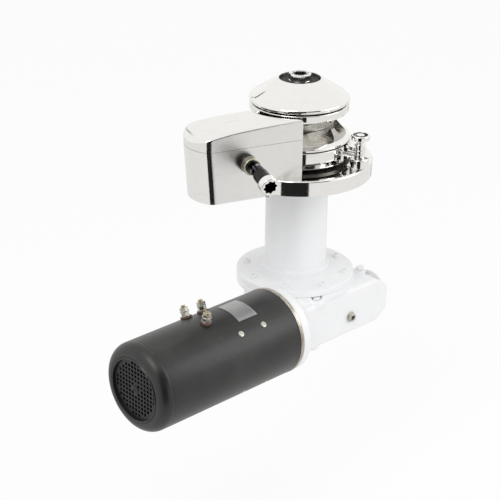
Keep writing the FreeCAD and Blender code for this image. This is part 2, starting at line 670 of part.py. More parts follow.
def gypsy():
    """Chainwheel: brake drum, lower cheek, pocketed groove, upper cheek and two cone seats."""
    drum = [(BUSH_R, 48), (CONE_R[0] + GAP, 46.6), (CONE_R[1] + GAP, 34.6), (CONE_R[1] + GAP, DRUM_Z0),
            (DRUM_R, DRUM_Z0), (DRUM_R, CHEEK_Z[0] - 0.5)]
    groove = [(WAIST_R, WAIST_Z[0]), (WAIST_R, LINK_GROOVE_Z[0]), (LINK_GROOVE_R, LINK_GROOVE_Z[0]),
              (LINK_GROOVE_R, LINK_GROOVE_Z[1]), (WAIST_R, LINK_GROOVE_Z[1]), (WAIST_R, WAIST_Z[1])]
    top = [(TOP_CHEEK_R[0], TOP_CHEEK_Z[0]), (TOP_CHEEK_R[1], TOP_CHEEK_Z[0] + 3.5),
           (TOP_CHEEK_R[1], TOP_CHEEK_Z[1]), (CONE_R[1] + GAP + 0.4, TOP_CHEEK_Z[1]),
           (CONE_R[0] + GAP, UPPER_CONE_Z[0] - 0.4), (BUSH_R, UPPER_CONE_Z[0] - 0.6)]
    wheel = lathe(drum + [(CHEEK_R, CHEEK_Z[0]), (CHEEK_R, CHEEK_Z[1])] + FLANK + groove + top)
    pocket = box(POCKET_R, 100, -POCKET_L / 2, POCKET_L / 2, POCKET_Z[0], POCKET_Z[1])
    corners = [e for e in pocket.Edges if e.BoundBox.XLength > 30]
    pocket = pocket.makeFillet(9.0, corners)
    limit = lathe([(POCKET_R, CHEEK_Z[0]), (WAIST_R + 4, CHEEK_Z[0]), (WAIST_R + 17, POCKET_Z[0] - 2),
                   (WAIST_R + 9, POCKET_Z[1] + 2), (POCKET_R, POCKET_Z[1] + 7)])
    for cutter in around(pocket.common(limit), POCKETS, POCKET_ANGLE):
        wheel = wheel.cut(cutter)
    return wheel.removeSplitter()


def gypsy_bush():
    """Bronze bush on which the chainwheel runs when the clutch is open."""
    return ring(BUSH_R, SHAFT_R + RUN, 48.5, UPPER_CONE_Z[0] - 1.0)


def cap():
    """Polished cap: cone skin with rolled rim, hub with the upper clutch cone, recessed mouth."""
    skin = [(CAP_MOUTH_R, CAP_TOP), (CAP_R - 5.5, CAP_Z0 + 11.2), (CAP_R - 3, CAP_Z0 + 9.3),
            (CAP_R - 1.2, CAP_Z0 + 7), (CAP_R, CAP_Z0 + 4.5), (CAP_R, CAP_Z0 + 1.2), (CAP_R - 0.5, CAP_Z0 + 0.4),
            (CAP_R - 1.5, CAP_Z0), (CAP_R - 6, CAP_Z0), (CAP_R - 6, CAP_Z0 + 5), (46.0, 151.0),
            (CONE_R[1], 147.0), (CONE_R[1], UPPER_CONE_Z[1] + 0.2), (CONE_R[0], UPPER_CONE_Z[0]),
            (SHAFT_R + RUN, UPPER_CONE_Z[0]), (SHAFT_R + RUN, CAP_SHOULDER), (NUT_R + 0.4, CAP_SHOULDER),
            (NUT_R + 0.4, 158.0), (CAP_MOUTH_R - 2, 158.0), (CAP_MOUTH_R - 2, CAP_TOP)]
    return lathe(skin).cut(key_slot(UPPER_CONE_Z[0] - 1, SHAFT_SHOULDER - 3))


def cap_ring():
    """Black sealing ring in the cap's mouth."""
    return ring(CAP_MOUTH_R - 2, NUT_R + 0.4, 158.0, 161.0)


def thrust_washer():
    """Bronze washer under the clutch nut."""
    return ring(NUT_R + 0.2, SHAFT_THREAD_R + 0.3, CAP_SHOULDER, NUT_Z0 - RUN)


def clutch_nut():
    """Clutch nut: long threaded barrel with the eight-pointed handle socket."""
    nut = lathe([(0, NUT_Z0), (NUT_R, NUT_Z0), (NUT_R, NUT_TOP - 1.2), (NUT_R - 1.2, NUT_TOP), (0, NUT_TOP)])
    flats = hexagon(NUT_R * 1.09, 150.0, NUT_TOP + 1)
    crown = cyl(NUT_R + 1, 162.0, NUT_TOP + 1).cut(flats)
    nut = nut.cut(crown)
    nut = nut.cut(cyl(SHAFT_THREAD_R + RUN, NUT_Z0 - 1, SHAFT_TOP + 3))
    hole = star_hole(STAR_DEPTH)
    hole.rotate(V(0, 0, 0), V(0, 0, 1), 8)
    hole.translate(V(0, 0, NUT_TOP))
    return nut.cut(hole).removeSplitter()


# Below deck

def deck_tube():
    """White deck tube with a collar at its foot and a bolting flange."""
    tube = join([cyl(TUBE_R, FLANGE_TOP, TUBE_SEAT), cyl(FOOT_R, FLANGE_TOP - 1, FOOT_TOP),
                 cyl(FLANGE_R, FLANGE_MID, FLANGE_TOP)])
    foot = [e for e in tube.Edges if abs(e.BoundBox.ZMin - FOOT_TOP) < 0.01 and e.BoundBox.ZLength < 0.01
            and abs(e.BoundBox.XMax - FOOT_R) < 0.1]
    tube = tube.makeFillet(3.0, foot)
    rim = [e for e in tube.Edges if abs(e.BoundBox.ZMin - FLANGE_TOP) < 0.01 and e.BoundBox.ZLength < 0.01
           and abs(e.BoundBox.XMax - FLANGE_R) < 0.1]
    tube = tube.makeFillet(1.5, rim)
    tube = tube.cut(cyl(TUBE_IN, FLANGE_LOW, TUBE_SEAT + 1))
    for hole in around(cyl(4.0, FLANGE_MID - 1, FLANGE_TOP + 1, FLANGE_BOLT_R), FLANGE_BOLTS, FLANGE_BOLT_START):
        tube = tube.cut(hole)
    return tube


def flange_screws():
    """Socket-head screws through both flanges."""
    screw = cap_screw(6.0, 4.5, 4.0, 22.0)
    screw.translate(V(FLANGE_BOLT_R, 0, FLANGE_TOP))
    return Part.Compound(around(screw, FLANGE_BOLTS, FLANGE_BOLT_START))


def gearbox_case():
    """White gearbox casting: drum around the worm wheel, worm box, bell for the motor and bolt bosses."""
    bottom = WORM_Z - BOX_HALF
    top = WORM_Z + BOX_HALF
    cx, cz = BOX_CHAMFER
    side = [V(BOX_X[0], 0, bottom), V(BOX_X[1] - cx, 0, bottom), V(BOX_X[1], 0, bottom + cz),
            V(BOX_X[1], 0, top - cz), V(BOX_X[1] - cx, 0, top), V(BOX_X[0], 0, top), V(BOX_X[0], 0, bottom)]
    face = Part.Face(Part.makePolygon(side))
    worm_box = face.extrude(V(0, 2 * BOX_HALF, 0))
    worm_box.translate(V(0, WORM_Y - BOX_HALF, 0))
    edges = [e for e in worm_box.Edges if e.BoundBox.XLength > 150 and e.BoundBox.YLength < 0.01]
    worm_box = worm_box.makeFillet(5.0, edges)
    drum = cyl(CASE_R, CASE_BOTTOM, FLANGE_MID)
    flange = cyl(FLANGE_R, FLANGE_LOW, FLANGE_MID)
    bell = bell_solid()
    case = join([drum, flange, worm_box, bell])
    x, y, z = bolt_places()[0]
    case = case.fuse(cyl(LUG_R, z - 12, z, x, y))
    case = case.fuse(cyl(LUG_R, bottom - 5, bottom + 12, x - 6, y + 4))
    x, y, z = bolt_places()[1]
    case = case.fuse(cyl(11.0, z - 4, z, x, y))
    case = case.cut(cyl(FLANGE_R + 0.5, FLANGE_MID, FLANGE_MID + 60))
    case = case.cut(cyl(54.0, CASE_BOTTOM - 1, -228))
    case = case.cut(cyl(30.0, -229, FLANGE_MID + 1))
    case = case.cut(rod(24.0, -96, 120))
    case = case.cut(rod(30.0, -111, -86))
    case = case.cut(rod(28.0, 120, 140))
    start = FLANGE_BOLT_START - MOTOR_TURN
    for hole in around(cyl(4.0, FLANGE_LOW + 1, FLANGE_MID + 1, FLANGE_BOLT_R), FLANGE_BOLTS, start):
        case = case.cut(hole)
    for x, y, z in bolt_places():
        case = case.cut(cyl(4.0, z - 14, z + 1, x, y)).cut(cyl(10.0, z, z + 20, x, y))
    port = Part.makeCylinder(6.0, 10, V(40.8, WORM_Y - BOX_HALF - 1, -260.5), V(0, 1, 0))
    case = case.cut(port)
    return on_motor(case.removeSplitter())


def bell_solid():
    """Motor flange that narrows to the worm box."""
    flange = rod(MOTOR_R, BELL_X[0], BELL_X[1])
    neck = Part.makeCone(MOTOR_R - 2, BOX_HALF + 8, 26, V(BELL_X[1] - 0.5, WORM_Y, WORM_Z), V(1, 0, 0))
    return flange.fuse(neck)


def gearbox_cover():
    """Bottom cover with the lower bearing's seat."""
    plate = cyl(66.0, CASE_BOTTOM - 6, CASE_BOTTOM)
    plug = cyl(53.7, CASE_BOTTOM - 1, CASE_BOTTOM + 6)
    cover = plate.fuse(plug).cut(cyl(24.0, CASE_BOTTOM - 2, CASE_BOTTOM + 7))
    for hole in around(cyl(3.0, CASE_BOTTOM - 7, CASE_BOTTOM + 1, 60.0), 6, 30.0):
        cover = cover.cut(hole)
    return cover.removeSplitter()


def cover_screws():
    """Screws of the bottom cover."""
    screw = cap_screw(5.0, 5.0, 3.0, 6.0)
    screw.rotate(V(0, 0, 0), V(1, 0, 0), 180)
    screw.translate(V(60.0, 0, CASE_BOTTOM - 6))
    return Part.Compound(around(screw, 6, 30.0))


def ball_bearings():
    """Six ball bearings: three on the main shaft, two on the worm, one at the motor's tail."""
    deck = ring(31.0, SHAFT_R + RUN, -4, 14)
    upper = ring(30.0, SHAFT_R + RUN, -226, -210)
    lower = ring(24.0, SHAFT_TAIL_R + RUN, CASE_BOTTOM - 2, CASE_BOTTOM + 12)
    inner = pipe(24.0, 10.0 + RUN, -94, -80)
    outer = pipe(24.0, 10.0 + RUN, 104, 119)
    tail = pipe(14.0, 8.5 + RUN, -381, -373)
    return Part.Compound([deck, upper, lower] + [on_motor(b) for b in (inner, outer, tail)])


def worm_wheel():
    """Bronze worm wheel with slanted tooth gaps."""
    tip = MODULE * WHEEL_TEETH / 2 + MODULE * 0.9
    wheel = cyl(tip, WORM_Z - WHEEL_HALF, WORM_Z + WHEEL_HALF)
    wheel = wheel.fuse(cyl(27.0, WORM_Z - 12, WORM_Z + 12))
    wheel = wheel.cut(cyl(SHAFT_R, WORM_Z - 20, WORM_Z + 20))
    root = MODULE * WHEEL_TEETH / 2 - MODULE * 1.25
    half_low = 1.5
    half_high = 3.3
    gap = Part.Face(Part.makePolygon([V(root, -half_low, 0), V(tip + 1, -half_high, 0), V(tip + 1, half_high, 0),
                                      V(root, half_low, 0), V(root, -half_low, 0)])).extrude(V(0, 0, 40))
    gap.translate(V(0, 0, -20))
    lead = degrees(MODULE / (2 * WORM_PITCH_R))
    gap.rotate(V(0, 0, 0), V(1, 0, 0), -lead)
    gap.translate(V(0, 0, WORM_Z))
    gaps = Part.Compound(around(gap, WHEEL_TEETH, -90.0 + MOTOR_TURN))
    wheel = wheel.cut(gaps)
    return wheel.cut(box(0, KEY_REACH, -KEY_W / 2, KEY_W / 2, WORM_Z - 20, WORM_Z + 20))


def worm():
    """Worm and motor shaft in one piece: single-start thread, bearing journals, armature seat."""
    pitch = pi * MODULE
    length = WORM_X[1] - WORM_X[0]
    helix = Part.makeHelix(pitch, length, WORM_PITCH_R)
    half_root = 1.75
    half_tip = 0.85
    r0 = WORM_ROOT_R - 0.6
    profile = Part.makePolygon([V(r0, 0, -half_root), V(WORM_TIP_R, 0, -half_tip), V(WORM_TIP_R, 0, half_tip),
                                V(r0, 0, half_root), V(r0, 0, -half_root)])
    thread = Part.Wire(helix).makePipeShell([profile], True, True)
    thread = thread.fuse(cyl(WORM_ROOT_R, -2, length + 2))
    thread.rotate(V(0, 0, 0), V(0, 0, 1), WORM_PHASE)
    thread = aim_x(thread, WORM_X[0])
    shaft = rod(8.5, -400, WORM_X[0] + 1)
    shaft = shaft.fuse(rod(10.0, -96, WORM_X[0])).fuse(rod(10.0, WORM_X[1], 134))
    return thread.fuse(shaft)


def aim_x(shape, x):
    """Moves a shape built along +Z so that it runs along the motor's axis from x."""
    moved = shape.copy()
    moved.rotate(V(0, 0, 0), V(0, 1, 0), 90)
    moved.translate(V(x, WORM_Y, WORM_Z))
    return moved


def worm_end_cover():
    """Round cover behind the worm's outer bearing."""
    plate = rod(34.0, BOX_X[1], BOX_X[1] + 4)
    plug = rod(27.7, 122, BOX_X[1] + 1).cut(rod(22.0, 121, BOX_X[1] - 2))
    return plate.fuse(plug).removeSplitter()


def bolt_places():
    """Seats of the two bolts on top of the worm box."""
    top = WORM_Z + BOX_HALF
    return [(LUG_X, WORM_Y - BOX_HALF + 11, top + 5), (BOX_X[1] - 25, WORM_Y + 4, top + 3)]


def case_bolts():
    """Hexagon bolts on the casting's bosses."""
    shapes = []
    bolt = hex_bolt(7.5, 5.5, 4.0, 12.0)
    for x, y, z in bolt_places():
        copy = bolt.copy()
        copy.translate(V(x, y, z))
        shapes.append(copy)
    return Part.Compound(shapes)


def level_plug():
    """Oil level plug with a hexagon head on the near face."""
    face_y = WORM_Y - BOX_HALF
    plug = Part.makeCylinder(6.0, 8, V(0, 0, -8), V(0, 0, 1)).fuse(cyl(9.5, 0, 1.5)).fuse(hexagon(8.0, 1.0, 6.5))
    plug = plug.cut(cyl(4.0, 4.0, 8.0)).removeSplitter()
    return aim(plug, V(40.8, face_y, -260.5), V(0, -1, 0))


# Motor

def motor_ring():
    """Machined steel ring between the gearbox bell and the motor."""
    return pipe(MOTOR_R + 0.6, 26.0, RING_X[0], RING_X[1])


def motor_can():
    """Steel motor body."""
    can = pipe(MOTOR_R, MOTOR_R - CAN_WALL, CAN_X[0], CAN_X[1])
    for x, angle in pole_screw_places():
        can = can.cut(place_on_can(cyl(2.5, -20, 20), x, angle))
        can = can.cut(place_on_can(cyl(5.2, -1.2, 20), x, angle))
    for x, angle in TERMINALS:
        can = can.cut(place_on_can(cyl(5.0, -20, 20), x, angle))
    return can


def pole_screw_places():
    """Positions of the eight pole screws: distance along the motor and angle above the near side."""
    return [(x, POLE_ANGLE + 90 * k) for k in range(4) for x in POLE_X]


def place_on_can(shape, x, angle):
    """Moves a shape built outwards along +Z from the can's skin to its place on the can."""
    a = radians(angle)
    out = V(0, -cos(a), sin(a))
    return aim(shape, V(x, WORM_Y, WORM_Z) + out * MOTOR_R, out)


def pole_screws():
    """Countersunk screws that hold the magnets."""
    screw = cyl(5.2, -1.2, 0.6).fuse(cyl(2.5, -CAN_WALL, -1.0)).cut(box(-5, 5, -0.6, 0.6, 0.0, 2))
    screw = screw.removeSplitter()
    return Part.Compound([place_on_can(screw, x, angle) for x, angle in pole_screw_places()])


def end_shield():
    """Rounded end of the motor with a mouth for the grille."""
    depth = CAN_X[0] - END_X
    profile = [(MOTOR_R, 0), (MOTOR_R, 4)]
    steps = 8
    for i in range(1, steps + 1):
        t = i / steps * pi / 2
        profile.append((MOTOR_R - 18 * (1 - cos(t)), 4 + (depth - 4) * sin(t)))
    profile += [(GRILLE_R + 3.5, depth), (GRILLE_R + 1.5, depth + 1.2), (GRILLE_R, depth - 1.0),
                (GRILLE_R, depth - 6), (MOTOR_R - 10, depth - 8), (MOTOR_R - CAN_WALL, -6), (MOTOR_R - CAN_WALL, 0)]
    solid = lathe(profile)
    solid.rotate(V(0, 0, 0), V(0, 1, 0), -90)
    solid.translate(V(CAN_X[0], WORM_Y, WORM_Z))
    return solid


def grille():
    """Round fan grille with square holes and a centre boss."""
    disc = cyl(GRILLE_R, 0, 3)
    half = GRILLE_HOLE / 2
    count = int(GRILLE_R / GRILLE_PITCH)
    holes = []
    for i in range(-count, count + 1):
        for j in range(-count, count + 1):
            r = GRILLE_PITCH * sqrt(i * i + j * j)
            if 9.0 < r < GRILLE_R - 5.5:
                x = i * GRILLE_PITCH
                y = j * GRILLE_PITCH
                holes.append(box(x - half, x + half, y - half, y + half, -1, 4))
    disc = disc.cut(Part.Compound(holes)).fuse(cyl(6.5, 0, 4.5)).removeSplitter()
    disc.rotate(V(0, 0, 0), V(0, 1, 0), -90)
    disc.translate(V(END_X + 4.5, WORM_Y, WORM_Z))
    return disc


def rear_plate():
    """Inner end plate with the brush gear's seat and the rear bearing."""
    x0, x1 = REAR_PLATE_X
    plate = pipe(MOTOR_R - CAN_WALL, 14.0, x0, x1)
    for k in range(6):
        a = radians(30 + 60 * k)
        plate = plate.cut(rod(11.0, x0 - 1, x1 + 1, WORM_Y + 45 * cos(a), WORM_Z + 45 * sin(a)))
    return plate


def magnets():
    """Four curved field magnets inside the can."""
    shapes = []
    for k in range(4):
        length = ARMATURE_X[1] - ARMATURE_X[0] + 2 * MAGNET_OVERHANG
        arc = sector(MOTOR_R - CAN_WALL, ARMATURE_R + AIR_GAP, 0, length, -32, 32)
        arc.rotate(V(0, 0, 0), V(0, 0, 1), 90 * k + 42.7)
        arc.rotate(V(0, 0, 0), V(0, 1, 0), 90)
        arc.translate(V(ARMATURE_X[0] - MAGNET_OVERHANG, WORM_Y, WORM_Z))
        shapes.append(arc)
    return Part.Compound(shapes)


def armature():
    """Slotted armature stack on the shaft."""
    length = ARMATURE_X[1] - ARMATURE_X[0]
    stack = cyl(ARMATURE_R, 0, length)
    for slot in around(box(ARMATURE_R - 7, ARMATURE_R + 5, -2.5, 2.5, -1, length + 1), 16):
        stack = stack.cut(slot)
    stack = stack.cut(cyl(8.5, -1, length + 1))
    return aim_x(stack, ARMATURE_X[0])


def windings():
    """Copper end turns on both ends of the armature."""
    front = pipe(ARMATURE_R - 5, 8.5, ARMATURE_X[1], ARMATURE_X[1] + WINDING_L)
    back = pipe(ARMATURE_R - 5, 8.5, ARMATURE_X[0] - WINDING_L, ARMATURE_X[0])
    return Part.Compound([front, back])


def commutator():
    """Commutator barrel behind the armature."""
    barrel = cyl(24.0, 0, 32)
    for slot in around(box(22.5, 26, -0.5, 0.5, -1, 33), 24):
        barrel = barrel.cut(slot)
    barrel = barrel.cut(cyl(8.5, -1, 40))
    return aim_x(barrel, COMMUTATOR_X)


def brushes():
    """Four carbon brushes around the commutator."""
    return Part.Compound([aim_x(b, COMMUTATOR_X) for b in around(brush_block(), 4, 45)])


def brush_block():
    """One brush, in the commutator's own frame."""
    return box(24.3, 48, -6, 6, 8, 22)


def brush_holder():
    """Ring that carries the brushes, screwed inside the can."""
    holder = lathe([(38, 4), (MOTOR_R - CAN_WALL, 4), (MOTOR_R - CAN_WALL, 26), (38, 26)])
    for pocket in around(brush_block(), 4, 45):
        holder = holder.cut(pocket)
    return aim_x(holder, COMMUTATOR_X)


def fan():
    """Cooling fan on the motor's tail."""
    hub = cyl(14.0, 0, 14)
    blades = around(box(12, 46, -1.2, 1.2, 0, 12), 9)
    return aim_x(join([hub] + blades).cut(cyl(8.5, -1, 20)), CAN_X[0] - 1.0)


def terminal_insulators():
    """Red fibre washers and sleeves under the terminals."""
    washer = cyl(10.0, 0, 3).fuse(cyl(5.0, -CAN_WALL, 0)).cut(cyl(4.0, -20, 20)).removeSplitter()
    return Part.Compound([place_on_can(washer, x, angle) for x, angle in TERMINALS])


def terminal_studs():
    """Threaded terminal studs."""
    return Part.Compound([place_on_can(cyl(4.0, -CAN_WALL, 22), x, angle) for x, angle in TERMINALS])


def terminal_nuts():
    """Two nuts and a washer on each stud."""
    shapes = []
    for x, angle in TERMINALS:
        stack = [cyl(8.0, 3, 4.6), hexagon(7.5, 4.6, 10.6), cyl(8.0, 10.6, 12.2), hexagon(7.5, 12.2, 18.2)]
        shapes.append(place_on_can(join(stack).cut(cyl(4.0, 0, 30)), x, angle))
    return Part.Compound(shapes)


def label_plate():
    """Blank rating plate bent round the can."""
    length = LABEL_X[1] - LABEL_X[0]
    plate = sector(MOTOR_R + 0.8, MOTOR_R + 0.05, 0, length, LABEL_ANGLES[0], LABEL_ANGLES[1])
    turn = FreeCAD.Rotation(V(0, -1, 0), V(0, 0, 1), V(-1, 0, 0), "XYZ")
    plate.Placement = FreeCAD.Placement(V(LABEL_X[1], WORM_Y, WORM_Z), turn)
    return plate


def write(name, shape):
    """Writes one node."""
    shape.exportStep("parts/" + name + ".step")


os.makedirs("parts", exist_ok=True)

# Deck unit
write("base_plate", base_plate())
write("shaft_seal", shaft_seal())
write("cover_housing", cover_housing())
write("hawse_liner", hawse_liner())
write("cover_lid", cover_lid())
write("lid_hinge_brackets", lid_hinge_brackets())
write("lid_hinge_pins", lid_hinge_pins())
write("chain_stripper", chain_stripper())
write("brake_band_front", brake_band_front())
write("brake_band_back", brake_band_back())
write("brake_linings", brake_linings())
write("post_foot", post_foot())
write("foot_screw", foot_screw())
write("post_pin", post_pin())
write("post_spacer", post_spacer())
write("post_head", post_head())
write("spindle_boss", spindle_boss())
write("brake_spindle", brake_spindle())
write("spindle_collar", spindle_collar())
write("joint_cross", joint_cross())
write("handle_socket", handle_socket())
write("socket_screw", socket_screw())
write("brake_crosshead", brake_crosshead())

# Shaft line
write("main_shaft", main_shaft())
write("shaft_keys", shaft_keys())
write("lower_cone", lower_cone())
write("gypsy", gypsy())
write("gypsy_bush", gypsy_bush())
write("cap", cap())
write("cap_ring", cap_ring())
write("thrust_washer", thrust_washer())
write("clutch_nut", clutch_nut())
write("worm_wheel", worm_wheel())

# Below deck
write("deck_tube", deck_tube())
write("flange_screws", flange_screws())
write("gearbox_case", gearbox_case())
write("gearbox_cover", gearbox_cover())
write("cover_screws", cover_screws())
write("ball_bearings", ball_bearings())
write("worm", on_motor(worm()))
write("worm_end_cover", on_motor(worm_end_cover()))
write("case_bolts", on_motor(case_bolts()))
write("level_plug", on_motor(level_plug()))

# Motor
write("motor_ring", on_motor(motor_ring()))
write("motor_can", on_motor(motor_can()))
write("end_shield", on_motor(end_shield()))
write("grille", on_motor(grille()))
write("rear_plate", on_motor(rear_plate()))
write("magnets", on_motor(magnets()))
write("pole_screws", on_motor(pole_screws()))
write("armature", on_motor(armature()))
write("windings", on_motor(windings()))
write("commutator", on_motor(commutator()))
write("brushes", on_motor(brushes()))
write("brush_holder", on_motor(brush_holder()))
write("fan", on_motor(fan()))
write("terminal_insulators", on_motor(terminal_insulators()))
write("terminal_studs", on_motor(terminal_studs()))
write("terminal_nuts", on_motor(terminal_nuts()))
write("label_plate", on_motor(label_plate()))
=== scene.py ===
import bpy
import bmesh
import json
import numpy as np
from math import sin, cos, pi, radians, degrees, sqrt, asin, tan, acos
from mathutils import Matrix, Vector

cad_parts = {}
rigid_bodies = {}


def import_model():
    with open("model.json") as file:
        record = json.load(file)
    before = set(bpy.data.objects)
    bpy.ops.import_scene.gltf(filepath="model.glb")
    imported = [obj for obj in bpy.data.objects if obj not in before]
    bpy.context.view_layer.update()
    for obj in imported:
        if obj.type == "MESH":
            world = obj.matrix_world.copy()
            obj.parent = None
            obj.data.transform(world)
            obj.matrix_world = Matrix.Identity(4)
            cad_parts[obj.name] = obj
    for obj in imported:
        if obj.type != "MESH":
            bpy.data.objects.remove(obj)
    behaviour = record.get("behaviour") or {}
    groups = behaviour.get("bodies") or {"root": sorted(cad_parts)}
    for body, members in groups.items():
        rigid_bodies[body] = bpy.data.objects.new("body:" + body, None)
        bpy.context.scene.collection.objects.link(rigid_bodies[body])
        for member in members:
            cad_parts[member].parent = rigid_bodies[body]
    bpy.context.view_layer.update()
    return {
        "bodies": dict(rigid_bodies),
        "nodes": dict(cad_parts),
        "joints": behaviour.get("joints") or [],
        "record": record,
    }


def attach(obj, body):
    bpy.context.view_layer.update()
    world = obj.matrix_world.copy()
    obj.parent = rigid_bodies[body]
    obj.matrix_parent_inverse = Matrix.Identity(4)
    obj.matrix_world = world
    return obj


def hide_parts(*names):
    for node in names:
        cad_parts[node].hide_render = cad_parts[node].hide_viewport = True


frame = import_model()
nodes = frame["nodes"]
scene = bpy.context.scene
MM = 0.001

# Camera: the photograph's own viewpoint, low at the front left, looking down on the cap.
# A long lens, as a product photographer uses.
AZIMUTH, PITCH, ROLL = radians(25.05), radians(24.33), radians(0.73)
camera = bpy.data.objects.new("camera", bpy.data.cameras.new("camera"))
scene.collection.objects.link(camera)
ahead = Vector((sin(AZIMUTH) * cos(PITCH), cos(AZIMUTH) * cos(PITCH), -sin(PITCH)))
right = Vector((cos(AZIMUTH), -sin(AZIMUTH), 0))
up = Vector((sin(AZIMUTH) * sin(PITCH), cos(AZIMUTH) * sin(PITCH), cos(PITCH)))
tilted_right = cos(ROLL) * right + sin(ROLL) * up
tilted_up = -sin(ROLL) * right + cos(ROLL) * up
spot = -0.08016 * right - 0.14007 * up - 2.47975 * ahead
camera.matrix_world = Matrix((tilted_right, tilted_up, -ahead)).transposed().to_4x4()
camera.location = spot
camera.data.lens = 103.48
camera.data.sensor_width = 36.0
camera.data.clip_start, camera.data.clip_end = 0.05, 50.0
scene.camera = camera
scene.view_settings.view_transform = "Standard"


# Studio: a pale floor well below the hanging unit, a light room, soft lamps and black cards.
# The shader wrapper starts here because the floor is the first thing that needs it.
class Signal:
    """A socket that can stand in sums; each sum adds its Math node."""

    def __init__(self, finish, socket):
        self.finish, self.socket = finish, socket

    def _math(self, operation, *values):
        return self.finish.node("ShaderNodeMath", {"operation": operation}, dict(enumerate(values)))

    def __add__(self, other):
        return self._math("ADD", self, other)

    def __radd__(self, other):
        return self._math("ADD", other, self)

    def __sub__(self, other):
        return self._math("SUBTRACT", self, other)

    def __rsub__(self, other):
        return self._math("SUBTRACT", other, self)

    def __mul__(self, other):
        return self._math("MULTIPLY", self, other)

    def __rmul__(self, other):
        return self._math("MULTIPLY", other, self)

    def low(self, other):
        return self._math("MINIMUM", self, other)


class Finish:
    """One material: its shader with constant values set on it, and the nodes that vary over the surface."""

    def __init__(self, name, shader="ShaderNodeBsdfPrincipled", **constants):
        self.material = bpy.data.materials.new(name)
        self.material.use_nodes = True
        self.tree = self.material.node_tree
        self.tree.nodes.clear()
        self.output = self.tree.nodes.new("ShaderNodeOutputMaterial")
        self.shader = self.tree.nodes.new(shader)
        self.tree.links.new(self.shader.outputs[0], self.output.inputs[0])
        self.feed(**constants)

    def feed(self, **values):
        for key, value in values.items():
            self._put(self.shader.inputs[key.replace("_", " ")], value)
        return self

    def _put(self, socket, value):
        if isinstance(value, Signal):
            self.tree.links.new(value.socket, socket)
        elif isinstance(value, tuple) and len(value) == 3 and len(socket.default_value) == 4:
            socket.default_value = (*value, 1.0)
        else:
            socket.default_value = value

    def node(self, kind, settings=None, sockets=None, out=0):
        made = self.tree.nodes.new(kind)
        for key, value in (settings or {}).items():
            if key == "stops":
                for i, (place, colour) in enumerate(value):
                    stop = made.color_ramp.elements[i] if i < 2 else made.color_ramp.elements.new(place)
                    stop.position = place
                    stop.color = (*colour, 1.0)
            else:
                setattr(made, key, value)
        for key, value in (sockets or {}).items():
            self._put(made.inputs[key], value)
        return Signal(self, made.outputs[out])

    def place(self):
        """Position on the piece, in metres."""
        return self.node("ShaderNodeTexCoord", None, None, 3)

    def noise(self, scale, detail=2.0, rough=0.5, where=None):
        return self.node("ShaderNodeTexNoise", None, {"Vector": where or self.place(), "Scale": scale,
                                                      "Detail": detail, "Roughness": rough})

    def stretched(self, x, y, z):
        return self.node("ShaderNodeMapping", None, {"Vector": self.place(), "Scale": (x, y, z)})

    def parts(self, where=None):
        """The three numbers of a position."""
        made = self.tree.nodes.new("ShaderNodeSeparateXYZ")
        self._put(made.inputs[0], where or self.place())
        return [Signal(self, out) for out in made.outputs]

    def band(self, value, low, high, to_low=0.0, to_high=1.0):
        return self.node("ShaderNodeMapRange", {"interpolation_type": "SMOOTHSTEP"},
                         {"Value": value, "From Min": low, "From Max": high, "To Min": to_low, "To Max": to_high})

    def mix(self, factor, a, b):
        return self.node("ShaderNodeMix", {"data_type": "RGBA"}, {0: factor, 6: a, 7: b}, 2)

    def beside(self, kind, factor, **values):
        """Mixes a second shader with the first one."""
        other = self.tree.nodes.new(kind)
        for key, value in values.items():
            self._put(other.inputs[key], value)
        blend = self.tree.nodes.new("ShaderNodeMixShader")
        self._put(blend.inputs[0], factor)
        for i, shader in enumerate((self.shader, other)):
            self.tree.links.new(shader.outputs[0], blend.inputs[i + 1])
        self.tree.links.new(blend.outputs[0], self.output.inputs[0])

    def bump(self, height, strength, distance, normal=None):
        sockets = {"Height": height, "Strength": strength, "Distance": distance}
        if normal:
            sockets["Normal"] = normal
        return self.node("ShaderNodeBump", None, sockets)

    def worn_edges(self, reach=0.0012):
        """1 along outward edges, 0 on flat and hollow places."""
        edge = self.node("ShaderNodeBevel", {"samples": 4}, {"Radius": reach})
        flat = self.node("ShaderNodeNewGeometry", None, None, 1)
        return 1.0 - self.node("ShaderNodeVectorMath", {"operation": "DOT_PRODUCT"}, {0: edge, 1: flat}, 1)


def mesh_object(name, vertices, faces, material, angle=30.0):
    """A mesh given in millimetres, with smooth faces and sharp edges above an angle."""
    data = bpy.data.meshes.new(name)
    data.from_pydata([tuple(MM * c for c in v) for v in vertices], [], faces)
    data.validate()
    made = bpy.data.objects.new(name, data)
    scene.collection.objects.link(made)
    data.materials.append(material)
    shade(made, angle)
    return made


def shade(piece, angle):
    piece.data.shade_smooth()
    piece.data.set_sharp_from_angle(angle=radians(angle))


FLOOR_Z, FLOOR_GLOW = -620.0, 0.85
floor_paint = Finish("pale_floor", Roughness=0.9)
speckle = floor_paint.noise(40.0, 3.0)
floor_paint.feed(Base_Color=floor_paint.mix(speckle * 0.3, (0.93, 0.93, 0.93), (0.90, 0.90, 0.905)))
seen = floor_paint.node("ShaderNodeLightPath", None, None, 0)
mirrored = floor_paint.node("ShaderNodeLightPath", None, None, 3)
floor_paint.beside("ShaderNodeEmission", (seen * FLOOR_GLOW + mirrored * FLOOR_GLOW).low(FLOOR_GLOW),
                   Color=floor_paint.mix(mirrored, (1.0, 1.0, 1.0), (0.86, 0.85, 0.84)))
REACH = 9000.0
floor = mesh_object("floor", [(-REACH, -REACH, FLOOR_Z), (REACH, -REACH, FLOOR_Z), (REACH, REACH, FLOOR_Z),
                              (-REACH, REACH, FLOOR_Z)], [(0, 1, 2, 3)], floor_paint.material)

